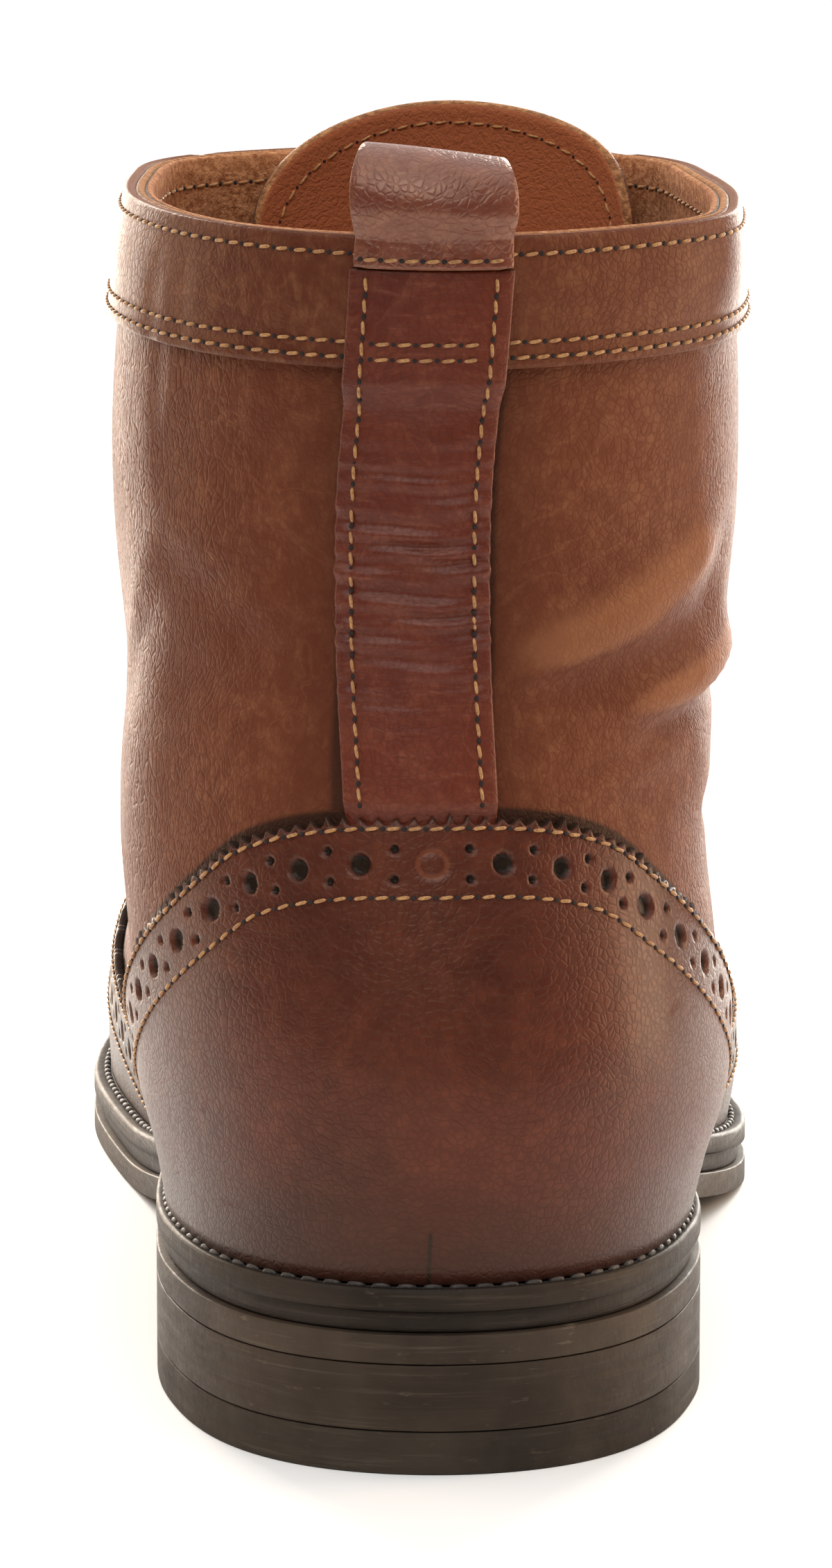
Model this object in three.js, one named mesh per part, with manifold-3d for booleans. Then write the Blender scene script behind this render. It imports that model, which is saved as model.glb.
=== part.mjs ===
// Laced brogue boot for the right foot, in millimetres, +Z up.
// +Y points to the toe and +X to the outer (lateral) side. The boot stands on z = 0.
import * as THREE from 'three';
import { mergeVertices } from 'three/addons/utils/BufferGeometryUtils.js';
import Module from 'manifold-3d';

const wasm = await Module();
wasm.setup();

// Driving sizes of the last and the leg
const upperLength = 290;
const ballWidth = 93;
const legHeight = 124;
const toeSpring = 7.5;

// Thickness of each layer under the foot
const weltThickness = 2.7;
const midsoleThickness = 2.3;
const outsoleThickness = 3.6;
const heelStackThickness = 7.7;
const topPieceThickness = 5.2;
const insoleThickness = 3.6;

// Leather
const upperWall = 2.2;
const overlayThickness = 1.2;
const strapThickness = 1.6;
const tongueThickness = 1.8;
const clearance = 0.3;

// How far the sole's edge stands out from the upper, at the heel and at the forefoot
const heelMargin = 2.6;
const forefootMargin = 4.2;
const midsoleInset = 1.0;

// Length of the heel block and the stretch of the sole that lies flat, along the boot
const heelLength = 78;
const flatFrom = 172;
const flatTo = 203;

// Where the arch and the wider margin begin, as shares of the heel's length
const archFrom = 0.9;
const marginFrom = 0.6;

// Pieces of the leg
const bandDepth = 15;
const stripHalfWidth = 9.2;
const loopHalfWidth = 8.5;
const loopRise = 10;
const loopSpread = 8.4;
const loopTail = 3;
const throatHalfGapLow = 4.5;
const throatHalfGapHigh = 8;
const eyestayWidth = 19;
const tongueHalfWidthLow = 20;
const tongueHalfWidthHigh = 31;
const tongueShoulder = 9.25;
const tongueArch = 17.5;
const tongueLean = 6;
const tongueDrop = 3.4;

// Lacing
const eyeletPairs = 7;
const eyeletInset = 9;
const eyeletHoleRadius = 2.1;
const eyeletBore = 1.5;
const eyeletFlangeRadius = 3.3;
const eyeletFlangeThickness = 0.7;
const laceRadius = 1.1;

// Colours
const upperLeather = { color: 0x683c2e, roughness: 0.5, metalness: 0 };
const trimLeather = { color: 0x5c3327, roughness: 0.5, metalness: 0 };
const tongueLeather = { color: 0x8a5638, roughness: 0.6, metalness: 0 };
const soleLeather = { color: 0x3a322c, roughness: 0.6, metalness: 0 };
const heelRubber = { color: 0x26211e, roughness: 0.75, metalness: 0 };
const insoleLeather = { color: 0x9a7350, roughness: 0.8, metalness: 0 };
const agedBrass = { color: 0x6e5a3a, roughness: 0.4, metalness: 0.9 };
const laceCotton = { color: 0x3b261c, roughness: 0.85, metalness: 0 };

// Heights that follow from the layers
const soleThickness = outsoleThickness + midsoleThickness + weltThickness + 2 * clearance;
const heelLift = heelStackThickness + topPieceThickness + 2 * clearance;
const seatHeight = heelLift + soleThickness;
const toeHeight = soleThickness + toeSpring;

// Sections of the upper from the sole's edge up to the collar. Each row is a closed loop.
// Y values are shares of the upper's length, heights are shares of the leg's height above the
// heel seat (back) or the toe (front). Half widths and sideways shifts are shares of the ball's
// width, at the heel, waist, ball and toe stations. Back and toe fullness round the loop's ends,
// and curve says how much of the sole's own curve the loop follows.
const levelColumns = [
  'backY', 'backRise', 'frontY', 'frontRise', 'heel', 'waist', 'ball', 'toe',
  'heelShift', 'ballShift', 'toeShift', 'backFull', 'toeFull', 'curve',
];
const levelRows = [
  [0.012, 0.000, 1.000, 0.000, 0.330, 0.330, 0.490, 0.365, 0.004, 0.052, 0.030, 1.36, 1.28, 1.00],
  [0.004, 0.060, 1.012, 0.060, 0.342, 0.352, 0.500, 0.395, 0.006, 0.058, 0.030, 1.30, 1.20, 0.94],
  [-0.002, 0.135, 1.014, 0.125, 0.364, 0.372, 0.496, 0.398, 0.008, 0.060, 0.030, 1.24, 1.18, 0.84],
  [-0.003, 0.220, 1.000, 0.195, 0.372, 0.385, 0.462, 0.364, 0.003, 0.056, 0.030, 1.21, 1.18, 0.68],
  [0.002, 0.310, 0.960, 0.265, 0.370, 0.378, 0.405, 0.302, -0.006, 0.042, 0.030, 1.16, 1.22, 0.50],
  [0.010, 0.400, 0.860, 0.340, 0.362, 0.376, 0.362, 0.246, -0.014, 0.024, 0.026, 1.08, 1.26, 0.32],
  [0.017, 0.495, 0.700, 0.430, 0.350, 0.384, 0.345, 0.224, -0.012, 0.010, 0.018, 1.03, 1.20, 0.16],
  [0.021, 0.590, 0.550, 0.580, 0.330, 0.406, 0.370, 0.240, 0.000, 0.004, 0.008, 1.00, 1.06, 0.05],
  [0.021, 0.690, 0.455, 0.730, 0.308, 0.419, 0.394, 0.268, 0.004, 0.004, 0.004, 1.00, 1.00, 0.00],
  [0.018, 0.790, 0.400, 0.865, 0.290, 0.417, 0.402, 0.295, 0.003, 0.004, 0.004, 1.00, 1.00, 0.00],
  [0.014, 0.895, 0.372, 0.985, 0.277, 0.405, 0.402, 0.320, 0.004, 0.005, 0.006, 1.00, 1.00, 0.00],
  [0.010, 1.000, 0.360, 1.120, 0.258, 0.384, 0.386, 0.328, 0.007, 0.007, 0.008, 1.00, 1.00, 0.00],
];

// Where the four stations lie along a loop, as shares of its length from the back
const stations = { heel: 0.12, waist: 0.38, ball: 0.67, toe: 0.87 };

// The ball line runs aslant: the inner side's widest point lies further forward
const ballSkew = 0.42;

// The outer back corner of the collar is pushed out, as a share of the ball's width
const corner = { push: 0.045, turn: 0.86, span: 0.33, from: 0.86 };

// Top edge of the counter: turn from the back in radians, and the level it reaches (0 sole, 1 collar)
const counterEdge = [
  { turn: 0.00, level: 0.509 },
  { turn: 0.24, level: 0.504 },
  { turn: 0.42, level: 0.486 },
  { turn: 0.56, level: 0.432 },
  { turn: 0.78, level: 0.345 },
  { turn: 1.00, level: 0.215 },
  { turn: 1.31, level: 0.045 },
];

// Top edge of the wing toe cap: turn from the toe in radians
const wingEdge = [
  { turn: 0.00, level: 0.470 },
  { turn: 0.25, level: 0.395 },
  { turn: 0.55, level: 0.325 },
  { turn: 0.95, level: 0.250 },
  { turn: 1.35, level: 0.190 },
  { turn: 1.80, level: 0.060 },
];

// Middle of the back strip against the level: sideways shift as a share of the ball's width
const stripLine = [
  { level: 0.50, shift: -0.026 },
  { level: 0.68, shift: -0.035 },
  { level: 0.80, shift: -0.033 },
  { level: 0.90, shift: -0.020 },
  { level: 1.00, shift: -0.010 },
];

// Levels of the throat's lower end, its rounding, and the ends of the facings and the tongue
const throatFoot = 0.575;
const throatRound = 0.03;
const eyestayFoot = 0.555;
const tongueFoot = 0.50;
const tongueTuck = 0.06;

// Levels of the first and last eyelets
const firstEyeletLevel = 0.615;
const lastEyeletLevel = 0.945;

// Turns beside the toe and the back at which widths across the front and the back are measured
const frontProbe = 0.35;
const backProbe = 0.2;

// The level over which the back strip climbs onto the collar band, and where that climb starts
const stripClimb = 0.025;
const stripClimbStart = 0.035;

// Fineness of the surfaces: steps round a loop, and steps up three stretches of levels
const turnSteps = 44;
const levelStretches = [
  { from: 0.00, to: 0.25, steps: 4 },
  { from: 0.25, to: 0.60, steps: 9 },
  { from: 0.60, to: 1.00, steps: 5 },
];

const ease = (x) => {
  const s = THREE.MathUtils.clamp(x, 0, 1);
  return s * s * (3 - 2 * s);
};

// Height of the outsole's underside: raised over the heel, flat under the ball, rising to the toe
function soleBottom(y) {
  const archStart = archFrom * heelLength;
  const arch = 1 - ease((y - archStart) / (flatFrom - archStart));
  const spring = Math.max(0, (y - flatTo) / (upperLength - flatTo)) ** 2;
  return heelLift * arch + toeSpring * spring;
}

const featherHeight = (y) => soleBottom(y) + soleThickness;

// Uniform Catmull-Rom value of one column of the level table
function levelValue(name, level) {
  const column = levelColumns.indexOf(name);
  const last = levelRows.length - 1;
  const at = THREE.MathUtils.clamp(level, 0, 1) * last;
  const i = Math.min(Math.floor(at), last - 1);
  const u = at - i;
  const row = (k) => {
    if (k < 0) return 2 * levelRows[0][column] - levelRows[1][column];
    if (k > last) return 2 * levelRows[last][column] - levelRows[last - 1][column];
    return levelRows[k][column];
  };
  const [a, b, c, d] = [row(i - 1), row(i), row(i + 1), row(i + 2)];
  return b + 0.5 * u * (c - a + u * (2 * a - 5 * b + 4 * c - d + u * (3 * (b - c) + d - a)));
}

// Smooth value through knots placed at rising positions
function throughKnots(places, values, x) {
  const last = places.length - 1;
  const slope = (i) => {
    if (i === 0) return (values[1] - values[0]) / (places[1] - places[0]);
    if (i === last) return (values[last] - values[last - 1]) / (places[last] - places[last - 1]);
    const before = places[i] - places[i - 1];
    const after = places[i + 1] - places[i];
    const slopeBefore = (values[i] - values[i - 1]) / before;
    const slopeAfter = (values[i + 1] - values[i]) / after;
    return (slopeBefore * after + slopeAfter * before) / (before + after);
  };
  let i = 0;
  while (i < last - 1 && x >= places[i + 1]) i += 1;
  const h = places[i + 1] - places[i];
  const s = THREE.MathUtils.clamp((x - places[i]) / h, 0, 1);
  const t = 1 - s;
  return (1 + 2 * s) * t * t * values[i] + s * t * t * h * slope(i)
    + s * s * (3 - 2 * s) * values[i + 1] - s * s * t * h * slope(i + 1);
}

const along = (table, key, value, x) =>
  throughKnots(table.map((row) => row[key]), table.map((row) => row[value]), x);

const stationNames = Object.keys(stations);
const stationTurns = stationNames.map((name) => Math.acos(1 - 2 * stations[name]));
const knotTurns = [-stationTurns[0], 0, ...stationTurns, Math.PI, 2 * Math.PI - stationTurns[3]];

// Half width of a loop divided by the sine of the turn, so an even value makes an ellipse
function loopReach(turn, level) {
  const halfWidth = (name) => levelValue(name, level) * ballWidth;
  const reach = stationNames.map((name, i) => halfWidth(name) / Math.sin(stationTurns[i]));
  const back = reach[0] * levelValue('backFull', level);
  const front = reach[3] * levelValue('toeFull', level);
  return throughKnots(knotTurns, [reach[0], back, ...reach, front, reach[3]], turn);
}

function loopShift(turn, level) {
  const heel = levelValue('heelShift', level) * ballWidth;
  const ball = levelValue('ballShift', level) * ballWidth;
  const toe = levelValue('toeShift', level) * ballWidth;
  return throughKnots(knotTurns, [heel, heel, heel, 1.3 * heel + 0.3 * ball, ball, toe, toe, toe], turn);
}

// Point of the upper's outer face. The angle runs round the loop from the back: positive over the
// outer side, negative over the inner side, and half a turn at the toe. The skew is strongest two
// thirds of the way along, where its curve of the share is brought to one.
const skewPeak = 27 / 4;

function skin(angle, level) {
  const folded = Math.acos(THREE.MathUtils.clamp(Math.cos(angle), -1, 1));
  const side = Math.sin(angle) >= 0 ? 1 : -1;
  const share = (1 - Math.cos(folded)) / 2;
  const backY = levelValue('backY', level) * upperLength;
  const frontY = levelValue('frontY', level) * upperLength;
  const backZ = seatHeight + levelValue('backRise', level) * legHeight;
  const frontZ = toeHeight + levelValue('frontRise', level) * legHeight;
  const bump = Math.exp(-(((folded - corner.turn) / corner.span) ** 2));
  const rise = ease((level - corner.from) / (1 - corner.from));
  const push = side > 0 ? corner.push * ballWidth * bump * rise : 0;
  const offCentre = side * (loopReach(folded, level) + push) * Math.sin(folded);
  const curve = levelValue('curve', level);
  const skew = ballSkew * offCentre * skewPeak * share * share * (1 - share) * curve;
  const y = backY + (frontY - backY) * share - skew;
  const straight = seatHeight + (toeHeight - seatHeight) * share;
  const z = backZ + (frontZ - backZ) * share + (featherHeight(y) - straight) * curve + clearance;
  return new THREE.Vector3(loopShift(folded, level) + offCentre, y, z);
}

// Outward direction of the skin, turned level over the lowest levels at the sole's edge
const uprightTo = 0.08;

function outward(angle, level) {
  const step = 0.002;
  const low = Math.max(0, level - step);
  const high = Math.min(1, level + step);
  const acrossLoop = skin(angle + step, level).sub(skin(angle - step, level));
  const upLoop = skin(angle, high).sub(skin(angle, low));
  const normal = acrossLoop.cross(upLoop).normalize();
  normal.z *= THREE.MathUtils.clamp(level / uprightTo, 0, 1);
  return normal.normalize();
}

// Point at a distance outside the skin. Above the collar the skin runs on straight.
function shellPoint(angle, level, distance) {
  const capped = Math.min(level, 1);
  const point = skin(angle, capped).addScaledVector(outward(angle, capped), distance);
  if (level > 1) {
    const step = 0.02;
    const below = skin(angle, 1 - step).addScaledVector(outward(angle, 1 - step), distance);
    point.addScaledVector(point.clone().sub(below), (level - 1) / step);
  }
  return point;
}

// Level that lies a number of millimetres below the collar
function levelBelowCollar(angle, depth) {
  const step = 1 / (levelRows.length - 1);
  const rise = skin(angle, 1).z - skin(angle, 1 - step).z;
  return 1 - (depth * step) / rise;
}

// Turn back from the toe, or round from the back, of a place at a distance off the middle
const frontAngle = (distance, level) =>
  Math.asin(Math.min(1, distance / loopReach(Math.PI - frontProbe, Math.min(level, 1))));

const backAngle = (x, level) => Math.asin((x - loopShift(0, level)) / loopReach(backProbe, level));

const spread = (from, to, steps) =>
  Array.from({ length: steps + 1 }, (_, i) => from + ((to - from) * i) / steps);

const levels = [0, ...levelStretches.flatMap(({ from, to, steps }) => spread(from, to, steps).slice(1))];

// The upper's own levels that lie between two levels, and the two ends
const levelsBetween = (from, to) => [from, ...levels.filter((level) => level > from && level < to), to];

const turnPitch = (2 * Math.PI) / turnSteps;

// The turns of the upper's own columns that lie between two turns, and the two ends
function turnsBetween(from, to) {
  const inside = [];
  for (let k = Math.floor(from / turnPitch) + 1; k * turnPitch < to; k += 1) inside.push(k * turnPitch);
  return [from, ...inside.filter((turn) => turn - from > 0.1 * turnPitch && to - turn > 0.1 * turnPitch), to];
}

// Point over the flat between two of the upper's own columns
function facePoint(angle, level, distance) {
  const before = Math.floor(angle / turnPitch);
  const left = shellPoint(before * turnPitch, level, distance);
  const right = shellPoint((before + 1) * turnPitch, level, distance);
  return left.lerp(right, angle / turnPitch - before);
}

// Closed solid between two grids of points. With wrap, the columns close on themselves.
function solidBetween(outer, inner, wrap = false) {
  const rows = outer.length;
  const columns = outer[0].length;
  const points = [...outer.flat(), ...inner.flat()];
  const positions = new Float32Array(points.flatMap((p) => [p.x, p.y, p.z]));
  const faces = [];
  const quad = (a, b, c, d) => faces.push(a, b, c, a, c, d);
  const out = (i, j) => i * columns + (j % columns);
  const into = (i, j) => rows * columns + out(i, j);
  const lastColumn = wrap ? columns : columns - 1;
  for (let i = 0; i < rows - 1; i += 1) {
    for (let j = 0; j < lastColumn; j += 1) {
      quad(out(i, j), out(i, j + 1), out(i + 1, j + 1), out(i + 1, j));
      quad(into(i, j), into(i + 1, j), into(i + 1, j + 1), into(i, j + 1));
    }
  }
  for (let j = 0; j < lastColumn; j += 1) {
    quad(out(0, j + 1), out(0, j), into(0, j), into(0, j + 1));
    quad(out(rows - 1, j), out(rows - 1, j + 1), into(rows - 1, j + 1), into(rows - 1, j));
  }
  for (let i = 0; i < rows - 1 && !wrap; i += 1) {
    quad(out(i, 0), out(i + 1, 0), into(i + 1, 0), into(i, 0));
    quad(out(i + 1, columns - 1), out(i, columns - 1), into(i, columns - 1), into(i + 1, columns - 1));
  }
  return closedGeometry(positions, faces);
}

// Merge shared corners, drop triangles without area and turn every face outward
function closedGeometry(positions, faces) {
  const raw = new THREE.BufferGeometry();
  raw.setAttribute('position', new THREE.BufferAttribute(positions, 3));
  raw.setIndex(faces);
  const geometry = mergeVertices(raw, 1e-3);
  const index = Array.from(geometry.index.array);
  const kept = [];
  let volume = 0;
  const corners = [new THREE.Vector3(), new THREE.Vector3(), new THREE.Vector3()];
  for (let i = 0; i < index.length; i += 3) {
    const [a, b, c] = index.slice(i, i + 3);
    if (a !== b && b !== c && a !== c) {
      kept.push(a, b, c);
      corners.forEach((spot, k) => spot.fromBufferAttribute(geometry.attributes.position, index[i + k]));
      volume += corners[0].dot(corners[1].clone().cross(corners[2]));
    }
  }
  if (volume < 0) kept.reverse();
  geometry.setIndex(kept);
  return geometry;
}

function toManifold(geometry) {
  const bare = geometry.clone();
  bare.deleteAttribute('normal');
  bare.deleteAttribute('uv');
  const merged = mergeVertices(bare, 1e-3);
  return new wasm.Manifold(new wasm.Mesh({
    numProp: 3,
    vertProperties: new Float32Array(merged.attributes.position.array),
    triVerts: new Uint32Array(merged.index.array),
  }));
}

function fromManifold(solid) {
  const mesh = solid.getMesh();
  const geometry = new THREE.BufferGeometry();
  geometry.setAttribute('position', new THREE.BufferAttribute(new Float32Array(mesh.vertProperties), 3));
  geometry.setIndex(Array.from(mesh.triVerts));
  return geometry;
}

// Sole outline: the upper's lower edge, moved out by a margin that grows from heel to forefoot
function marginAt(y) {
  const start = marginFrom * heelLength;
  return heelMargin + (forefootMargin - heelMargin) * ease((y - start) / (flatFrom - start));
}

function edgePoint(angle, reachAt) {
  const foot = skin(angle, 0);
  const away = outward(angle, 0);
  const reach = reachAt(foot.y);
  return new THREE.Vector2(foot.x + away.x * reach, foot.y + away.y * reach);
}

// Turn at which one side of the outline reaches a place along the boot
function turnAtY(side, y, reachAt, tip) {
  let low = 0;
  let high = tip;
  for (let pass = 0; pass < 40; pass += 1) {
    const middle = (low + high) / 2;
    if (edgePoint(side * middle, reachAt).y < y) low = middle;
    else high = middle;
  }
  return side * low;
}

// Turn of the outline's foremost point, a little off the middle because of the slanted ball
function foremostTurn(reachAt) {
  const turns = spread(Math.PI - 0.5, Math.PI + 0.5, 80);
  const placeAt = (turn) => edgePoint(turn, reachAt).y;
  return turns.reduce((best, turn) => (placeAt(turn) > placeAt(best) ? turn : best));
}

// Slab with the sole's outline between two heights that depend on the place along the boot
function soleSlab(reachAt, bottom, top, endY = Infinity) {
  const tip = foremostTurn(reachAt);
  const backY = edgePoint(0, reachAt).y;
  const tipY = edgePoint(tip, reachAt).y;
  const cut = endY < tipY;
  const frontY = cut ? endY : tipY;
  const turnEnd = cut ? Math.PI / 2 : Math.PI;
  const upperRow = [];
  const lowerRow = [];
  for (const turn of spread(0, turnEnd, cut ? 12 : 34)) {
    const share = (1 - Math.cos(turn)) / (1 - Math.cos(turnEnd));
    const y = backY + (frontY - backY) * share;
    const atPoint = share < 1e-6 || (share > 1 - 1e-6 && !cut);
    const rightX = edgePoint(turnAtY(1, y, reachAt, tip), reachAt).x;
    const leftX = atPoint ? rightX : edgePoint(turnAtY(-1, y, reachAt, 2 * Math.PI - tip), reachAt).x;
    upperRow.push([rightX, leftX].map((x) => new THREE.Vector3(x, y, top(y))));
    lowerRow.push([rightX, leftX].map((x) => new THREE.Vector3(x, y, bottom(y))));
  }
  return solidBetween(upperRow, lowerRow);
}

const midsoleBottom = (y) => soleBottom(y) + outsoleThickness + clearance;
const weltBottom = (y) => midsoleBottom(y) + midsoleThickness + clearance;

function buildWelt() {
  const ring = (reach, height) => spread(0, 2 * Math.PI, 1.5 * turnSteps).slice(0, -1).map((angle) => {
    const foot = skin(angle, 0);
    const away = outward(angle, 0);
    const distance = reach(foot.y);
    const y = foot.y + away.y * distance;
    return new THREE.Vector3(foot.x + away.x * distance, y, height(y));
  });
  const outside = (height) => ring(marginAt, height);
  const inside = (height) => ring(() => -upperWall, height);
  return solidBetween([outside(weltBottom), outside(featherHeight)],
    [inside(weltBottom), inside(featherHeight)], true);
}

// Half the throat's width at a level, rounded at its lower end
function throatHalfGap(level) {
  const up = (level - throatFoot) / (1 - throatFoot);
  const gap = THREE.MathUtils.lerp(throatHalfGapLow, throatHalfGapHigh, THREE.MathUtils.clamp(up, 0, 1));
  const round = THREE.MathUtils.clamp((level - throatFoot) / throatRound, 0, 1);
  const leastShare = 0.2;
  return gap * Math.max(leastShare, Math.sqrt(1 - (1 - round) ** 2));
}

function throatCutter() {
  const depth = 3 * upperWall;
  const overTop = 1.04;
  const roundTop = throatFoot + throatRound;
  const cutLevels = [...spread(throatFoot, roundTop, 4), ...levelsBetween(roundTop + 0.02, overTop)];
  const face = (distance) => cutLevels.map((level) => {
    const half = frontAngle(throatHalfGap(level), level);
    return spread(Math.PI - half, Math.PI + half, 3).map((angle) => shellPoint(angle, level, distance));
  });
  return toManifold(solidBetween(face(depth), face(-depth)));
}

// Places of the eyelets, one pair after another from the bottom
const eyelets = spread(firstEyeletLevel, lastEyeletLevel, eyeletPairs - 1).map((level) => {
  const half = frontAngle(throatHalfGap(level) + eyeletInset, level);
  return { level, half };
});
const eyeletAngle = (eyelet, side) => side * (Math.PI - eyelet.half);

function eyeletHoles() {
  const holes = [];
  for (const eyelet of eyelets) {
    for (const side of [1, -1]) {
      const angle = eyeletAngle(eyelet, side);
      const hole = new THREE.CylinderGeometry(eyeletHoleRadius, eyeletHoleRadius, 6 * upperWall, 8);
      hole.applyQuaternion(new THREE.Quaternion().setFromUnitVectors(
        new THREE.Vector3(0, 1, 0), outward(angle, eyelet.level)));
      const centre = skin(angle, eyelet.level);
      hole.translate(centre.x, centre.y, centre.z);
      holes.push(toManifold(hole));
    }
  }
  return holes;
}

const holeSolids = eyeletHoles();

function buildUpper() {
  const angles = spread(0, 2 * Math.PI, turnSteps).slice(0, -1);
  const face = (distance) => levels.map((level) => angles.map((angle) => shellPoint(angle, level, distance)));
  let solid = toManifold(solidBetween(face(0), face(-upperWall), true));
  solid = solid.subtract(throatCutter());
  for (const hole of holeSolids) solid = solid.subtract(hole);
  return fromManifold(solid);
}

// Patch of leather over the upper, on the upper's own columns and levels up to its own edges
function overlay(angles, edgesAt) {
  const face = (distance) => levels.map((level) => angles.map((angle) => {
    const [low, high] = edgesAt(angle);
    return facePoint(angle, THREE.MathUtils.clamp(level, low, high), distance);
  }));
  return solidBetween(face(clearance + overlayThickness), face(clearance));
}

function buildCounter() {
  const end = counterEdge.at(-1).turn;
  const top = (angle) => along(counterEdge, 'turn', 'level', Math.abs(angle));
  return overlay(turnsBetween(-end, end), (angle) => [0, top(angle)]);
}

function buildWing() {
  const end = wingEdge.at(-1).turn;
  const top = (angle) => along(wingEdge, 'turn', 'level', Math.abs(angle - Math.PI));
  return overlay(turnsBetween(Math.PI - end, Math.PI + end), (angle) => [0, top(angle)]);
}

// Turn, measured back from the toe, of the eyestay's outer edge
const eyestayHalf = (level) => frontAngle(throatHalfGap(level) + eyestayWidth, level);

function buildCollarBand() {
  const lowest = levelBelowCollar(Math.PI - 0.6, bandDepth);
  const gapTurn = 2 * clearance / loopReach(Math.PI - 0.5, lowest);
  const end = Math.PI - eyestayHalf(lowest) - gapTurn;
  return overlay(turnsBetween(-end, end), (angle) => [levelBelowCollar(angle, bandDepth), 1]);
}

function buildEyestay(side) {
  const face = (distance) => levelsBetween(eyestayFoot, 1).map((level) => {
    const inner = frontAngle(throatHalfGap(Math.max(level, throatFoot + throatRound)) + 2 * clearance, level);
    const outer = eyestayHalf(level);
    return spread(inner, outer, 4).map((turn) => shellPoint(side * (Math.PI - turn), level, distance));
  });
  let solid = toManifold(solidBetween(face(clearance + overlayThickness), face(clearance)));
  for (const hole of holeSolids) solid = solid.subtract(hole);
  return fromManifold(solid);
}

const stripX = (level) => along(stripLine, 'level', 'shift', level) * ballWidth;

// The strip lies on the upper and steps up over the collar band
function buildBackStrip() {
  const bandFoot = levelBelowCollar(0, bandDepth);
  const foot = counterEdge[0].level + 0.006;
  const top = levelBelowCollar(0, loopTail + 2 * clearance);
  const step = clearance + overlayThickness;
  const climbFoot = bandFoot - stripClimbStart;
  const climbTop = climbFoot + stripClimb;
  const lift = (level) => clearance + step * ease((level - climbFoot) / stripClimb);
  const climbLevels = [(climbFoot + climbTop) / 2, climbTop, (bandFoot + top) / 2, top];
  const stripLevels = [...levelsBetween(foot, climbFoot), ...climbLevels];
  const face = (raised) => stripLevels.map((level) => spread(-stripHalfWidth, stripHalfWidth, 4)
    .map((x) => shellPoint(backAngle(stripX(level) + x, level), level, lift(level) + raised)));
  return solidBetween(face(overlayThickness), face(0));
}

// Strap stitched outside the collar, over it and down inside, with room for a finger
function buildPullLoop() {
  const outside = 2 * clearance + overlayThickness;
  const inside = -(upperWall + clearance);
  const middle = (outside + inside) / 2;
  const arch = (radius, rise) => spread(0, Math.PI, 8)
    .map((turn) => ({ distance: middle + radius * Math.cos(turn), rise: rise + radius * Math.sin(turn) }));
  const half = (outside - inside) / 2;
  const spreadHalf = loopSpread / 2;
  const archRise = loopRise - spreadHalf - strapThickness;
  const line = (grow) => [
    { distance: middle + half + grow, rise: -loopTail },
    { distance: middle + half + grow, rise: 0.5 },
    { distance: middle + (half + spreadHalf) / 2 + grow, rise: archRise * 0.45 },
    ...arch(spreadHalf + grow, archRise),
    { distance: middle - (half + spreadHalf) / 2 - grow, rise: archRise * 0.45 },
    { distance: middle - half - grow, rise: 0.5 },
    { distance: middle - half - grow, rise: -3 * loopTail },
  ];
  const face = (grow) => line(grow).map(({ distance, rise }) => spread(-loopHalfWidth, loopHalfWidth, 4)
    .map((x) => {
      const angle = backAngle(stripX(1) + x, 1);
      const level = levelBelowCollar(angle, Math.max(0, -rise));
      const point = shellPoint(angle, level, distance);
      point.z += Math.max(0, rise);
      return point;
    }));
  return solidBetween(face(strapThickness), face(0));
}

// The tongue starts under the vamp, drops to leave room for the lace, and ends in an arch
function buildTongue() {
  const seat = upperWall + clearance;
  const depthAt = (level) => seat + tongueDrop * ease((level - eyestayFoot) / tongueTuck);
  const perLevel = (skin(Math.PI, 1).z - skin(Math.PI, 0.95).z) / 0.05;
  const shoulder = levelBelowCollar(Math.PI, tongueShoulder);
  const sheet = (extra) => spread(0, 1, 14).map((up) => spread(-1, 1, 8).map((t) => {
    const across = Math.sin((t * Math.PI) / 2);
    const top = shoulder + (tongueArch * Math.sqrt(1 - across * across)) / perLevel;
    const level = THREE.MathUtils.lerp(tongueFoot, top, up);
    const share = THREE.MathUtils.clamp((level - tongueFoot) / (1 - tongueFoot), 0, 1);
    const half = THREE.MathUtils.lerp(tongueHalfWidthLow, tongueHalfWidthHigh, ease(share * 1.15));
    const offset = half * across + tongueLean * ease(share);
    const turn = frontAngle(Math.abs(offset), level) * Math.sign(offset);
    return shellPoint(Math.PI - turn, level, -depthAt(level) - extra);
  }));
  return solidBetween(sheet(0), sheet(tongueThickness));
}

const eyestayTop = clearance + overlayThickness;

// Flanged ring with its barrel through the leather
function buildEyelet(eyelet, side) {
  const barrel = eyeletHoleRadius - clearance;
  const seat = eyestayTop + 2.5 * clearance;
  const profile = [
    [eyeletBore, -upperWall],
    [barrel, -upperWall],
    [barrel, seat],
    [eyeletFlangeRadius, seat],
    [eyeletBore, seat + eyeletFlangeThickness],
    [eyeletBore, -upperWall],
  ].map(([radius, height]) => new THREE.Vector2(radius, height));
  const ring = new THREE.LatheGeometry(profile, 8);
  const angle = eyeletAngle(eyelet, side);
  ring.deleteAttribute('normal');
  ring.deleteAttribute('uv');
  const mesh = addMesh(`eyelet_${side > 0 ? 'lateral' : 'medial'}_${eyelets.indexOf(eyelet) + 1}`,
    mergeVertices(ring, 1e-3), agedBrass);
  mesh.quaternion.setFromUnitVectors(new THREE.Vector3(0, 1, 0), outward(angle, eyelet.level));
  mesh.position.copy(skin(angle, eyelet.level));
}

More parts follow.
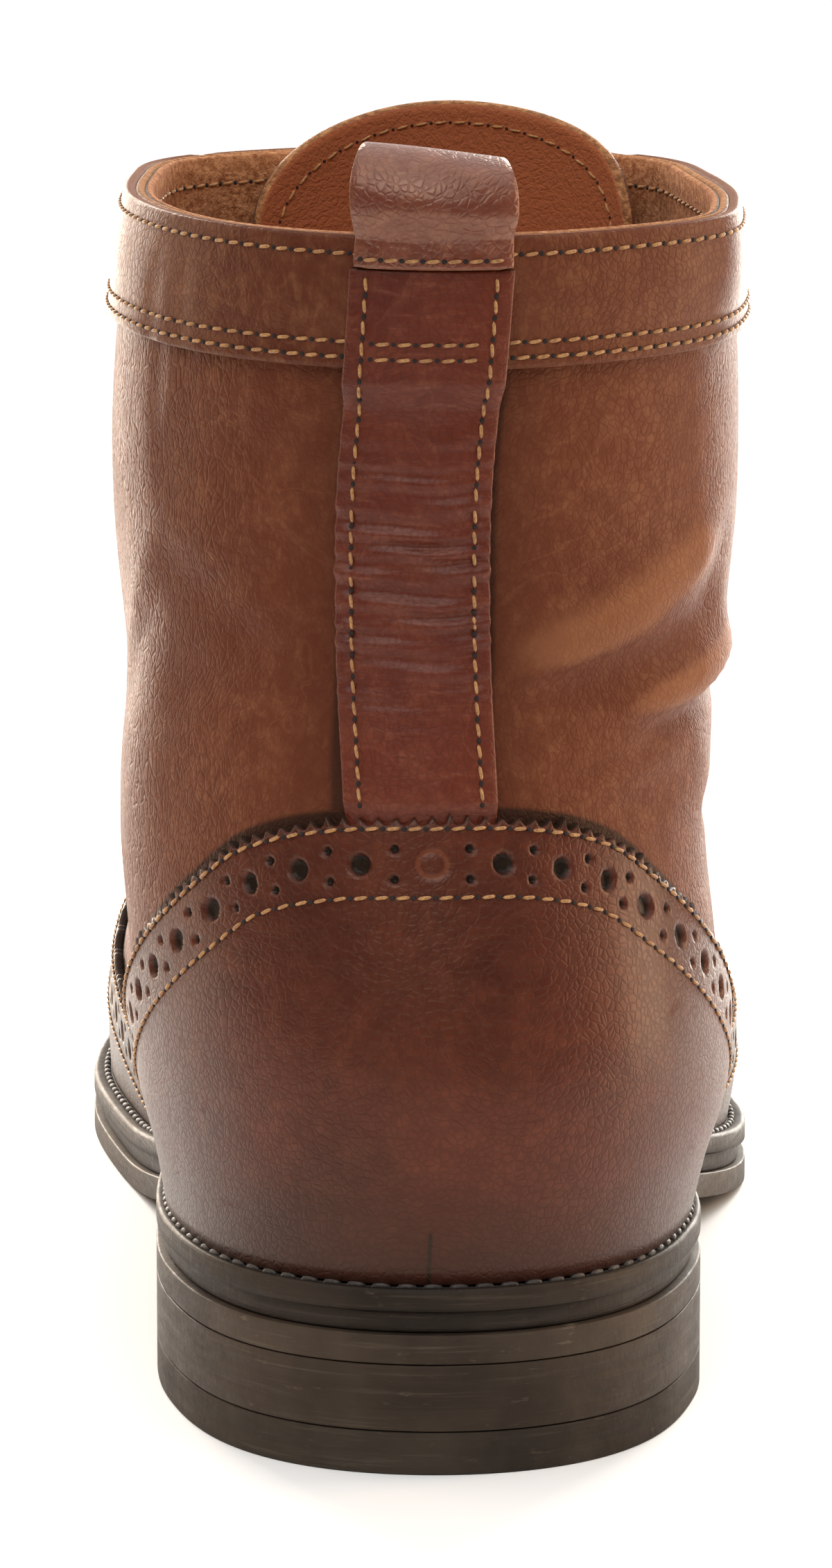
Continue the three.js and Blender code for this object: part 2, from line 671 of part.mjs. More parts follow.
// Round lace between two places on the facings, clear of both eyelets
function laceArm(from, to) {
  const distance = eyestayTop + 3 * clearance + laceRadius;
  const { lerp } = THREE.MathUtils;
  const at = (share) => shellPoint(
    lerp(from.angle, to.angle, share), lerp(from.level, to.level, share), distance);
  const length = at(0).distanceTo(at(1));
  const trim = (eyeletFlangeRadius + laceRadius) / length;
  const path = new THREE.CatmullRomCurve3(spread(trim, 1 - trim, 6).map(at));
  const section = new THREE.Shape(spread(0, 2 * Math.PI, 6).slice(0, -1)
    .map((turn) => new THREE.Vector2(laceRadius * Math.cos(turn), laceRadius * Math.sin(turn))));
  const tube = new THREE.ExtrudeGeometry(section, { steps: 6, extrudePath: path, bevelEnabled: false });
  return toManifold(tube);
}

function buildLace() {
  const place = (k, side) => ({ angle: side > 0 ? Math.PI - eyelets[k].half : Math.PI + eyelets[k].half,
    level: eyelets[k].level });
  addMesh('lace_bar', fromManifold(laceArm(place(0, 1), place(0, -1))), laceCotton);
  for (let k = 0; k < eyeletPairs - 1; k += 1) {
    const crossing = laceArm(place(k, 1), place(k + 1, -1)).add(laceArm(place(k, -1), place(k + 1, 1)));
    addMesh(`lace_crossing_${k + 1}`, fromManifold(crossing), laceCotton);
  }
}

const boot = new THREE.Group();

function addMesh(name, geometry, look) {
  const mesh = new THREE.Mesh(geometry, new THREE.MeshStandardMaterial(look));
  mesh.name = name;
  boot.add(mesh);
  return mesh;
}

const midsoleReach = (y) => marginAt(y) - midsoleInset;
const insoleReach = () => -(upperWall + 2 * clearance);
const topPieceTop = () => topPieceThickness;
const stackBottom = () => topPieceThickness + clearance;
const stackTop = (y) => soleBottom(y) - clearance;
const outsoleTop = (y) => soleBottom(y) + outsoleThickness;
const midsoleTop = (y) => midsoleBottom(y) + midsoleThickness;
const insoleTop = (y) => weltBottom(y) + insoleThickness;

addMesh('heel_top_piece', soleSlab(marginAt, () => 0, topPieceTop, heelLength), heelRubber);
addMesh('heel_stack', soleSlab(marginAt, stackBottom, stackTop, heelLength), soleLeather);
addMesh('outsole', soleSlab(marginAt, soleBottom, outsoleTop), soleLeather);
addMesh('midsole', soleSlab(midsoleReach, midsoleBottom, midsoleTop), soleLeather);
addMesh('welt', buildWelt(), soleLeather);
addMesh('insole', soleSlab(insoleReach, weltBottom, insoleTop), insoleLeather);
addMesh('upper', buildUpper(), upperLeather);
addMesh('tongue', buildTongue(), tongueLeather);
addMesh('counter', buildCounter(), trimLeather);
addMesh('wing_toe_cap', buildWing(), trimLeather);
addMesh('eyestay_lateral', buildEyestay(1), upperLeather);
addMesh('eyestay_medial', buildEyestay(-1), upperLeather);
addMesh('collar_band', buildCollarBand(), trimLeather);
addMesh('back_strip', buildBackStrip(), upperLeather);
addMesh('pull_loop', buildPullLoop(), trimLeather);
for (const eyelet of eyelets) {
  buildEyelet(eyelet, 1);
  buildEyelet(eyelet, -1);
}
buildLace();

// Put the origin on the ground, under the middle of the boot's box
const box = new THREE.Box3().setFromObject(boot);
const middle = box.getCenter(new THREE.Vector3());
boot.position.set(-middle.x, -middle.y, -box.min.z);

export default boot;
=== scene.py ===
import math
import bmesh
import bpy
import numpy as np
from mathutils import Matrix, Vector


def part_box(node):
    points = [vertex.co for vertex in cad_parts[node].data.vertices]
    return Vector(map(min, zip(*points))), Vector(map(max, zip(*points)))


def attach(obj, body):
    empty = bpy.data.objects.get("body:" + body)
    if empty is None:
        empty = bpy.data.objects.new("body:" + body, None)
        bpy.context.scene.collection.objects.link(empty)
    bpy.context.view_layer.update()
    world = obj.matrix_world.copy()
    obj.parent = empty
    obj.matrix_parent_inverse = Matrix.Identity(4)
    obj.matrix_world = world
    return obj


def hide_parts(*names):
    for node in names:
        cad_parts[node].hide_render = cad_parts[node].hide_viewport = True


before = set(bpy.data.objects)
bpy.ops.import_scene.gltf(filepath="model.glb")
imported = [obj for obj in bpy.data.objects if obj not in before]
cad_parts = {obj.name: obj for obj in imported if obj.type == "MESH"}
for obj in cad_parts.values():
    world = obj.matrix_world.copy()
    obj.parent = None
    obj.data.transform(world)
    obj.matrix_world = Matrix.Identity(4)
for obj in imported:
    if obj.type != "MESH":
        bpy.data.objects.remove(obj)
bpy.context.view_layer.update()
print("frame loaded")

# Everything below is in millimetres in the boot's own frame, +Y to the toe and +X to the outer side,
# until a mesh is made: then it is moved to the frame and turned into metres.
mm = 0.001

last = {
    "upperLength": 290,     # back of the heel to the toe of the upper
    "ballWidth": 93,
    "legHeight": 124,
    "toeSpring": 7.5,
    "heelLength": 78,
    "flatFrom": 172,        # the stretch of the sole that lies flat
    "flatTo": 203,
    "ballSkew": 0.42,
    "clearance": 0.3,
    "heelMargin": 2.6,      # how far the sole stands out
    "forefootMargin": 4.2,
}

# Sections of the upper from the sole's edge to the collar: heights and lengths as shares of the leg
# and the upper, half widths and shifts as shares of the ball's width
sectionColumns = ["backY", "backRise", "frontY", "frontRise", "heel", "waist", "ball", "toe",
                  "heelShift", "ballShift", "toeShift", "backFull", "toeFull", "curve"]
sectionRows = np.array([
    [0.012, 0.000, 1.000, 0.000, 0.330, 0.330, 0.490, 0.365, 0.004, 0.052, 0.030, 1.36, 1.28, 1.00],
    [0.004, 0.060, 1.012, 0.060, 0.342, 0.352, 0.500, 0.395, 0.006, 0.058, 0.030, 1.30, 1.20, 0.94],
    [-0.002, 0.135, 1.014, 0.125, 0.364, 0.372, 0.496, 0.398, 0.008, 0.060, 0.030, 1.24, 1.18, 0.84],
    [-0.003, 0.220, 1.000, 0.195, 0.372, 0.385, 0.462, 0.364, 0.003, 0.056, 0.030, 1.21, 1.18, 0.68],
    [0.002, 0.310, 0.960, 0.265, 0.370, 0.378, 0.405, 0.302, -0.006, 0.042, 0.030, 1.16, 1.22, 0.50],
    [0.010, 0.400, 0.860, 0.340, 0.362, 0.376, 0.362, 0.246, -0.014, 0.024, 0.026, 1.08, 1.26, 0.32],
    [0.017, 0.495, 0.700, 0.430, 0.350, 0.384, 0.345, 0.224, -0.012, 0.010, 0.018, 1.03, 1.20, 0.16],
    [0.021, 0.590, 0.550, 0.580, 0.330, 0.406, 0.370, 0.240, 0.000, 0.004, 0.008, 1.00, 1.06, 0.05],
    [0.021, 0.690, 0.455, 0.730, 0.308, 0.419, 0.394, 0.268, 0.004, 0.004, 0.004, 1.00, 1.00, 0.00],
    [0.018, 0.790, 0.400, 0.865, 0.290, 0.417, 0.402, 0.295, 0.003, 0.004, 0.004, 1.00, 1.00, 0.00],
    [0.014, 0.895, 0.372, 0.985, 0.277, 0.405, 0.402, 0.320, 0.004, 0.005, 0.006, 1.00, 1.00, 0.00],
    [0.010, 1.000, 0.360, 1.120, 0.258, 0.384, 0.386, 0.328, 0.007, 0.007, 0.008, 1.00, 1.00, 0.00],
])
ghostRows = np.vstack([2 * sectionRows[0] - sectionRows[1], sectionRows,
                       2 * sectionRows[-1] - sectionRows[-2]])
stationShares = {"heel": 0.12, "waist": 0.38, "ball": 0.67, "toe": 0.87}
waistShift = {"heel": 1.3, "ball": 0.3}    # how much of each shift the waist has
collarCorner = {"push": 0.045, "turn": 0.86, "span": 0.33, "from": 0.86}


def nodeHeight(name):                      # highest point of a CAD node
    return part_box(name)[1][2] / mm


clearance = last["clearance"]
heelLift = nodeHeight("heel_stack") + clearance
seatHeight = nodeHeight("welt")
soleThickness = seatHeight - heelLift
outsoleThickness = nodeHeight("outsole") - heelLift
midsoleLift = outsoleThickness + clearance
weltLift = nodeHeight("midsole") + clearance - heelLift
insoleLift = nodeHeight("insole") - heelLift
topPieceTop = nodeHeight("heel_top_piece")
toeHeight = soleThickness + last["toeSpring"]


# Smooth step: 3x^2 - 2x^3 between 0 and 1
def ease(x):
    s = np.clip(x, 0, 1)
    return s * s * (3 - 2 * s)


def lerp(a, b, share):                     # straight from a to b
    return a + (b - a) * share


def unit(v):                               # vectors over their own lengths
    return v / np.maximum(np.linalg.norm(v, axis=-1, keepdims=True), 1e-9)


# Underside of the outsole: one smooth step down from the heel, flat, then a parabola up to the toe
def soleBottom(y):
    start = 0.9 * last["heelLength"]
    arch = 1 - ease((y - start) / (last["flatFrom"] - start))
    spring = np.maximum(0, (y - last["flatTo"]) / (last["upperLength"] - last["flatTo"])) ** 2
    return heelLift * arch + last["toeSpring"] * spring


# One column of the section table at a level, as a uniform Catmull-Rom curve through its rows
def section(name, level):
    column = ghostRows[:, sectionColumns.index(name)]
    at = np.clip(level, 0, 1) * (len(sectionRows) - 1)
    i = np.minimum(at.astype(int), len(sectionRows) - 2)
    u = at - i
    a, b, c, d = column[i], column[i + 1], column[i + 2], column[i + 3]
    return b + 0.5 * u * (c - a + u * (2 * a - 5 * b + 4 * c - d + u * (3 * (b - c) + d - a)))


# Cubic Hermite curve through knots, with three-point slopes
def throughKnots(places, values, x):
    steps = np.diff(places)
    rises = [(values[i + 1] - values[i]) / steps[i] for i in range(len(steps))]
    inner = [(rises[i - 1] * steps[i] + rises[i] * steps[i - 1]) / (steps[i - 1] + steps[i])
             for i in range(1, len(steps))]
    slopes = [rises[0], *inner, rises[-1]]
    result = 0
    for i, h in enumerate(steps):
        s = np.clip((x - places[i]) / h, 0, 1)
        t = 1 - s
        part = ((1 + 2 * s) * t * t * values[i] + s * t * t * h * slopes[i]
                + s * s * (3 - 2 * s) * values[i + 1] - s * s * t * h * slopes[i + 1])
        result = part if i == 0 else np.where(x >= places[i], part, result)
    return result


stationTurns = {name: math.acos(1 - 2 * share) for name, share in stationShares.items()}
knotTurns = [-stationTurns["heel"], 0, *stationTurns.values(), math.pi, 2 * math.pi - stationTurns["toe"]]


# Half width of a loop over the sine of the turn, so an even value makes an ellipse
def loopReach(turn, level):
    reach = [section(name, level) * last["ballWidth"] / math.sin(t) for name, t in stationTurns.items()]
    back = reach[0] * section("backFull", level)
    front = reach[3] * section("toeFull", level)
    return throughKnots(knotTurns, [reach[0], back, *reach, front, reach[3]], turn)


# Sideways place of a loop's middle, a curve through the shifts of the heel, waist, ball and toe
def loopShift(turn, level):
    heel, ball, toe = [section(name, level) * last["ballWidth"]
                       for name in ("heelShift", "ballShift", "toeShift")]
    waist = waistShift["heel"] * heel + waistShift["ball"] * ball
    return throughKnots(knotTurns, [heel, heel, heel, waist, ball, toe, toe, toe], turn)


skewScale = 6.75          # brings the peak of share^2 (1 - share) near one


# Outer face of the upper. The angle runs round the loop from the back: x is the reach times the
# sine of the angle, y and z run from the back to the front with half of one minus its cosine.
def skin(angle, level):
    angle, level = np.broadcast_arrays(np.asarray(angle, float), np.asarray(level, float))
    folded = np.arccos(np.clip(np.cos(angle), -1, 1))
    side = np.where(np.sin(angle) >= 0, 1.0, -1.0)
    share = (1 - np.cos(folded)) / 2
    backY = section("backY", level) * last["upperLength"]
    frontY = section("frontY", level) * last["upperLength"]
    backZ = seatHeight + section("backRise", level) * last["legHeight"]
    frontZ = toeHeight + section("frontRise", level) * last["legHeight"]
    bump = np.exp(-((folded - collarCorner["turn"]) / collarCorner["span"]) ** 2)
    rise = ease((level - collarCorner["from"]) / (1 - collarCorner["from"]))
    push = np.where(side > 0, collarCorner["push"] * last["ballWidth"] * bump * rise, 0)
    offCentre = side * (loopReach(folded, level) + push) * np.sin(folded)
    curve = section("curve", level)
    skew = last["ballSkew"] * offCentre * skewScale * share * share * (1 - share) * curve
    y = backY + (frontY - backY) * share - skew
    straight = seatHeight + (toeHeight - seatHeight) * share
    feather = soleBottom(y) + soleThickness
    z = backZ + (frontZ - backZ) * share + (feather - straight) * curve + clearance
    return np.stack([loopShift(folded, level) + offCentre, y, z], -1)


featherLevel = 0.08       # below it the outward direction turns level


# Outward direction: the cross product of the two small steps over the skin, level at the sole's edge
def outward(angle, level):
    step = 0.002
    level = np.asarray(level, float)
    across = skin(angle + step, level) - skin(angle - step, level)
    up = skin(angle, np.minimum(1, level + step)) - skin(angle, np.maximum(0, level - step))
    normal = unit(np.cross(across, up))
    normal[..., 2] *= np.clip(level / featherLevel, 0, 1)
    return unit(normal)


# Point at a distance outside the skin; above the collar the skin runs on straight
def shell(angle, level, distance):
    angle, level, distance = np.broadcast_arrays(np.asarray(angle, float), np.asarray(level, float),
                                                 np.asarray(distance, float))
    capped = np.minimum(level, 1)
    point = skin(angle, capped) + outward(angle, capped) * distance[..., None]
    if np.any(level > 1):
        step = 0.02
        below = skin(angle, 1 - step) + outward(angle, np.full_like(level, 1 - step)) * distance[..., None]
        point = point + (point - below) * (np.maximum(level - 1, 0) / step)[..., None]
    return point


# Soft folds of the worn leather. Each runs from one place on the upper to another, with its angle
# from the back in radians and its level; bow, width and depth are in millimetres.
foldRows = [
    {"from": (0.13, 0.596), "to": (1.06, 0.712), "bow": 1.3, "width": 3.0, "depth": 1.30, "ridge": 1.5},
    {"from": (0.50, 0.668), "to": (1.15, 0.745), "bow": 0.8, "width": 2.2, "depth": 0.45, "ridge": 0.8},
    {"from": (0.42, 0.563), "to": (1.22, 0.632), "bow": 0.7, "width": 2.3, "depth": 1.50, "ridge": 1.5},
    {"from": (0.62, 0.575), "to": (1.20, 0.655), "bow": 0.8, "width": 1.0, "depth": 0.45, "ridge": 0.9},
    {"from": (0.30, 0.535), "to": (0.62, 0.566), "bow": 0.5, "width": 0.9, "depth": 0.42, "ridge": 0.9},
    {"from": (0.36, 0.490), "to": (0.80, 0.560), "bow": 0.6, "width": 2.6, "depth": 0.45, "ridge": 0.6},
    {"from": (0.78, 0.470), "to": (1.24, 0.580), "bow": 1.0, "width": 2.4, "depth": 0.90, "ridge": 0.9},
    {"from": (0.16, 0.610), "to": (0.44, 0.645), "bow": 0.3, "width": 0.8, "depth": 0.20, "ridge": 0.6},
    {"from": (-0.36, 0.628), "to": (-1.00, 0.738), "bow": 0.9, "width": 2.8, "depth": 0.85, "ridge": -1.3},
    {"from": (-0.55, 0.600), "to": (-1.10, 0.665), "bow": 0.6, "width": 3.2, "depth": 0.70, "ridge": -1.0},
    {"from": (-0.27, 0.742), "to": (-0.75, 0.700), "bow": -0.8, "width": 1.8, "depth": 0.25, "ridge": 0.8},
    {"from": (-0.35, 0.830), "to": (-1.05, 0.790), "bow": 1.0, "width": 4.4, "depth": 0.45, "ridge": 0.7},
    {"from": (1.45, 0.560), "to": (2.10, 0.480), "bow": 2.5, "width": 4.2, "depth": 1.10, "ridge": 0.9},
    {"from": (-1.50, 0.550), "to": (-2.15, 0.480), "bow": -2.5, "width": 4.2, "depth": 1.10, "ridge": 0.9},
    {"from": (2.25, 0.330), "to": (-2.35, 0.335), "bow": 2.0, "width": 3.6, "depth": 1.10, "ridge": 0.9},
    {"from": (2.40, 0.380), "to": (-2.50, 0.385), "bow": 2.0, "width": 3.2, "depth": 0.85, "ridge": 0.8},
    {"from": (-1.02, 0.985), "to": (-0.98, 0.800), "bow": 0.8, "width": 1.9, "depth": 0.20, "ridge": 0.7},
    {"from": (-0.86, 0.980), "to": (-0.84, 0.870), "bow": 0.5, "width": 1.5, "depth": 0.16, "ridge": 0.7},
]
foldScale = {"around": 41.0, "up": 133.0}          # millimetres to a radian and to a level at the leg
foldForm = {"fadeIn": 0.3, "fadeOut": 0.25, "ridgeAway": 1.7, "ridgeWide": 1.3, "ridgeShare": 0.6}


# Height of the folds: a Gaussian trough along each line, beside a wider ridge, faded at both ends
def relief(angle, level):
    turn = np.where(np.cos(angle) < 0, np.mod(angle, 2 * math.pi),
                    (angle + math.pi) % (2 * math.pi) - math.pi)
    total = np.zeros(np.broadcast(angle, level).shape)
    for fold in foldRows:
        startTurn, endTurn = fold["from"][0], fold["to"][0]
        own = turn
        if abs(endTurn - startTurn) > math.pi:
            endTurn += 2 * math.pi
            own = np.mod(turn, 2 * math.pi)
        elif min(startTurn, endTurn) < -math.pi / 2:
            own = np.where(turn > math.pi / 2, turn - 2 * math.pi, turn)
        start = np.array([startTurn * foldScale["around"], fold["from"][1] * foldScale["up"]])
        run = np.array([endTurn * foldScale["around"], fold["to"][1] * foldScale["up"]]) - start
        length = np.hypot(*run)
        dx = own * foldScale["around"] - start[0]
        dy = level * foldScale["up"] - start[1]
        share = (dx * run[0] + dy * run[1]) / length ** 2
        off = (dy * run[0] - dx * run[1]) / length + fold["bow"] * 4 * share * (1 - share)
        fade = ease(share / foldForm["fadeIn"]) * ease((1 - share) / foldForm["fadeOut"])
        trough = np.exp(-(off / fold["width"]) ** 2)
        away = off - foldForm["ridgeAway"] * fold["width"]
        ridge = np.exp(-(away / (foldForm["ridgeWide"] * fold["width"])) ** 2)
        total = total + fade * fold["depth"] * (fold["ridge"] * foldForm["ridgeShare"] * ridge - trough)
    return total


def leatherPoint(angle, level, distance):          # the same place, moved by the folds
    return shell(angle, level, distance + relief(angle, np.minimum(level, 1)))


# Level at a depth under the collar, read from how steep the top row of the table is
def levelBelowCollar(angle, depth):
    step = 1 / (len(sectionRows) - 1)
    rise = skin(angle, np.ones_like(angle))[..., 2] - skin(angle, np.full_like(angle, 1 - step))[..., 2]
    return 1 - depth * step / rise


probe = {"front": 0.35, "back": 0.2, "most": 0.98}         # turns where the reach is read, most sine


# Turn back from the toe, or round from the back, of a place a distance off the middle: the arc sine
# of the distance over the reach
def frontAngle(distance, level):
    reach = loopReach(np.full_like(level, math.pi - probe["front"]), np.minimum(level, 1))
    return np.arcsin(np.minimum(probe["most"], distance / reach))


def backAngle(x, level):
    capped = np.minimum(level, 1)
    reach = loopReach(np.full_like(capped, probe["back"]), capped)
    return np.arcsin((x - loopShift(np.zeros_like(capped), capped)) / reach)


# Shift from the boot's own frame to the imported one: the backmost corner of the upper, found in both
def findShift():
    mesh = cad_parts["upper"].data
    corners = np.empty(len(mesh.vertices) * 3)
    mesh.vertices.foreach_get("co", corners)
    corners = corners.reshape(-1, 3) / mm
    back = corners[np.argmin(corners[:, 1])]
    middle = skin(0.0, np.linspace(0, 1, 4001))
    near = middle[np.argmin(abs(middle[:, 2] - back[2]))]
    return np.array([back[0] - near[0], back[1] - near[1], 0])


rowShift = findShift()
print("last set up, shift", rowShift.round(2))


# Quads of a grid of points, as corner numbers
def gridQuads(rows, columns, first):
    a = first + np.arange(rows - 1)[:, None] * columns + np.arange(columns - 1)[None, :]
    return np.stack([a, a + 1, a + 1 + columns, a + columns], -1).reshape(-1, 4)


mergeGap = 2e-6           # metres


# A closed piece from grids that share their borders. Each patch is the points and, for every point,
# the place along an edge, below it, and the share from the face (0) to the back (1).
def makePiece(name, patches, finish, standsFor=()):
    points, lays, quads, first = [], [], [], 0
    for grid, lay in patches:
        rows, columns = grid.shape[:2]
        points.append(grid.reshape(-1, 3))
        lays.append(np.broadcast_to(np.zeros(3) if lay is None else lay, grid.shape).reshape(-1, 3))
        quads.append(gridQuads(rows, columns, first))
        first += rows * columns
    mesh = bpy.data.meshes.new(name)
    mesh.from_pydata((np.vstack(points) + rowShift) * mm, [], np.vstack(quads), shade_flat=False)
    layAttribute = mesh.attributes.new("lay", "FLOAT_VECTOR", "POINT")
    layAttribute.data.foreach_set("vector", np.vstack(lays).astype(np.float32).ravel())
    work = bmesh.new()
    work.from_mesh(mesh)
    bmesh.ops.remove_doubles(work, verts=work.verts, dist=mergeGap)
    bmesh.ops.recalc_face_normals(work, faces=work.faces)
    work.to_mesh(mesh)
    work.free()
    addPiece(name, mesh, finish, standsFor)


triangleCount = {}


# An object of the scene in the body root, with its material, slot, CAD nodes and count of triangles
def addPiece(name, mesh, finish, standsFor=()):
    mesh.materials.append(finish)
    piece = bpy.data.objects.new(name, mesh)
    bpy.context.scene.collection.objects.link(piece)
    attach(piece, "root")
    if standsFor:
        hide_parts(*standsFor)
    triangleCount[name] = sum(len(p.vertices) - 2 for p in mesh.polygons)


wallRows = 5


# Rounded wall between the borders of two faces: a straight line across, bulged by a sine
def edgeWall(outer, inner, nextOuter, bulge, layOuter):
    count = len(outer)
    window = np.minimum(1, np.minimum(np.arange(count), np.arange(count)[::-1]) / 2)
    out = unit(outer - nextOuter)
    share = np.linspace(0, 1, wallRows)[:, None, None]
    swell = bulge * np.sin(math.pi * share) * window[None, :, None]
    lay = np.repeat(layOuter[None], wallRows, 0)
    lay[..., 2] = share[..., 0]
    return lerp(outer[None], inner[None], share) + out * swell, lay


# A sheet of leather: its face, its back and the four walls round it
def sheetPatches(outer, inner, bulge, lay=None, sideFrom=0):
    lay = np.zeros(outer.shape) if lay is None else lay
    back = lay.copy()
    back[..., 2] = 1
    patches = [(outer, lay), (inner, back)]
    sides = slice(sideFrom, None)
    borders = [(outer[0], inner[0], outer[1], lay[0]), (outer[-1], inner[-1], outer[-2], lay[-1]),
               (outer[sides, 0], inner[sides, 0], outer[sides, 1], lay[sides, 0]),
               (outer[sides, -1], inner[sides, -1], outer[sides, -2], lay[sides, -1])]
    return patches + [edgeWall(face, behind, beside, bulge, place)
                      for face, behind, beside, place in borders]


def pathLength(points):                    # length from the start to each point
    return np.concatenate([[0], np.cumsum(np.linalg.norm(np.diff(points, axis=0), axis=1))])


# Tube along a path: a ring carried by the path's direction and a given side direction
def tubePatches(path, side, radius, sides):
    tangent = unit(np.gradient(path, axis=0))
    first = unit(side - tangent * np.sum(side * tangent, -1, keepdims=True))
    second = np.cross(tangent, first)
    turn = np.linspace(0, 2 * math.pi, sides + 1)[None, :, None]
    grid = path[:, None] + radius * (np.cos(turn) * first[:, None] + np.sin(turn) * second[:, None])
    lay = np.zeros(grid.shape)
    lay[..., 0] = pathLength(path)[:, None]
    lay[..., 1] = turn[..., 0] * radius
    caps = []
    for end in (0, -1):
        rings = path[end] + (grid[end][None] - path[end]) * np.array([0, 1])[:, None, None]
        caps.append((rings, None))
    return [(grid, lay), *caps]


# Values of a path at even steps along its length
def evenly(points, others, pitch, offset):
    run = pathLength(points)
    count = max(2, int(round(run[-1] / pitch)))
    at = (np.arange(count) + offset) * run[-1] / count
    return [np.stack([np.interp(at, run, v[:, k]) for k in range(3)], -1) for v in (points, *others)]


# Capsule with triangle faces: circles along x from -1 to 1, with the root of 1 - x^4 as radius
def capsule(rings, sides):
    x = np.linspace(-1, 1, rings + 2)[1:-1]
    turn = np.arange(sides) * 2 * math.pi / sides
    size = np.sqrt(1 - x ** 4)
    body = np.broadcast_arrays(x[:, None], size[:, None] * np.cos(turn), size[:, None] * np.sin(turn))
    points = np.vstack([np.stack(body, -1).reshape(-1, 3), [[-1, 0, 0], [1, 0, 0]]])
    k = np.arange(sides)
    n = (k + 1) % sides
    faces = []
    for ring in range(rings - 1):
        a, b = ring * sides, (ring + 1) * sides
        faces += [np.stack([a + k, a + n, b + n], -1), np.stack([a + k, b + n, b + k], -1)]
    start, end = rings * sides, rings * sides + 1
    faces.append(np.stack([n, k, np.full(sides, start)], -1))
    faces.append(np.stack([(rings - 1) * sides + k, (rings - 1) * sides + n, np.full(sides, end)], -1))
    return points, np.vstack(faces)


# One mesh with a copy of a small form at every place: x goes along, y sideways, z out of the surface
def scatter(name, form, centres, tangents, normals, size, finish, arch, lean):
    points, faces = form
    along = unit(tangents - normals * np.sum(tangents * normals, -1, keepdims=True))
    side = np.cross(normals, along)
    along = unit(along + side * lean)
    side = np.cross(normals, along)
    x, y, z = points[:, 0], points[:, 1], points[:, 2]
    out = z * size[2] + arch * (1 - x * x)
    placed = (centres[:, None] + along[:, None] * (x * size[0])[None, :, None]
              + side[:, None] * (y * size[1])[None, :, None] + normals[:, None] * out[None, :, None])
    numbers = faces[None] + (np.arange(len(centres)) * len(points))[:, None, None]
    mesh = bpy.data.meshes.new(name)
    mesh.from_pydata((placed.reshape(-1, 3) + rowShift) * mm, [], numbers.reshape(-1, 3), shade_flat=False)
    addPiece(name, mesh, finish)


# Thread and needle holes in millimetres: half lengths, widths and heights; the holes are dark marks of
# painted shade
fineStitch = {"pitch": 2.55, "half": 0.88, "width": 0.22, "height": 0.24, "arch": 0.12, "lean": 0.12,
              "hole": (0.36, 0.288, 0.16), "thread": "goldThread"}
tongueStitch = {"pitch": 2.55, "half": 0.86, "width": 0.18, "height": 0.2, "arch": 0.08, "lean": 0.12,
                "hole": (0.24, 0.192, 0.16), "thread": "goldThread"}
weltStitch = {"pitch": 3.1, "half": 1.3, "width": 0.5, "height": 0.45, "arch": 0.2, "lean": 0.1,
              "hole": (0.5, 0.4, 0.16), "thread": "weltThread"}
threadForm = capsule(5, 8)
holeForm = capsule(3, 8)


# Rows of stitches along paths on a surface, each path with its outward directions, and the needle
# holes between them as dark marks of painted shade
def sewRows(name, rows, stitch):
    threadSize = (stitch["half"], stitch["width"], stitch["height"])
    kinds = ((name, threadForm, 0.5, threadSize, stitch["thread"], stitch["arch"], stitch["lean"]),
             (name + "_holes", holeForm, 0.0, stitch["hole"], "pit", 0.0, 0.0))
    for label, form, offset, size, finish, arch, lean in kinds:
        sewn = [evenly(points, [normals, np.gradient(points, axis=0)], stitch["pitch"], offset)
                for points, normals in rows]
        centres, normals, tangents = [np.vstack(parts) for parts in zip(*sewn)]
        scatter(label, form, centres, tangents, unit(normals), size, finishes[finish], arch, lean)


# Back strip: lies on the upper, steps up over the band, and is tucked under the counter's teeth
strip = {
    "halfWidth": 8.8, "columns": 44, "rows": 190, "thickness": 1.2, "top": 3.6, "stitchInset": 1.9,
    "lineLevels": [0.50, 0.68, 0.80, 0.90, 1.00], "lineShift": [-0.026, -0.035, -0.033, -0.020, -0.010],
    "wrinkleFrom": 0.60, "wrinkleTo": 0.84, "wrinklePitch": 2.7, "wrinkleDepth": 0.46,
    "lift": 0.25, "liftOver": 1.55, "liftUnder": 0.85, "tucked": 0.018, "edgeDip": 0.35, "rowDip": 0.12,
    "dipWidth": 0.5, "crossSamples": 24,
}


def stripX(level):                         # the strip's middle line wanders to one side
    return throughKnots(strip["lineLevels"], strip["lineShift"], level) * last["ballWidth"]


# Materials
# The quarter's material reads this value for painted highlight on fold ridges and painted shade in fold
# troughs
foldShare = 0.08          # the folds' height in millimetres to the third value of an upper's "lay"


# A socket in arithmetic: each operator adds a maths node and gives its output
class Wire:
    def __init__(self, finish, socket):
        self.finish = finish
        self.socket = socket

    def maths(self, operation, *others):
        return self.finish.add("Math", {"operation": operation}, dict(enumerate((self, *others))))

    def __add__(self, other):
        return self.maths("ADD", other)

    def __sub__(self, other):
        return self.maths("SUBTRACT", other)

    def __mul__(self, other):
        return self.maths("MULTIPLY", other)

    def __truediv__(self, other):
        return self.maths("DIVIDE", other)

    def __pow__(self, other):
        return self.maths("POWER", other)

    def __neg__(self):
        return self * -1

    def __abs__(self):
        return self.maths("ABSOLUTE")

    def __rsub__(self, other):
        return -self + other

    __radd__ = __add__
    __rmul__ = __mul__


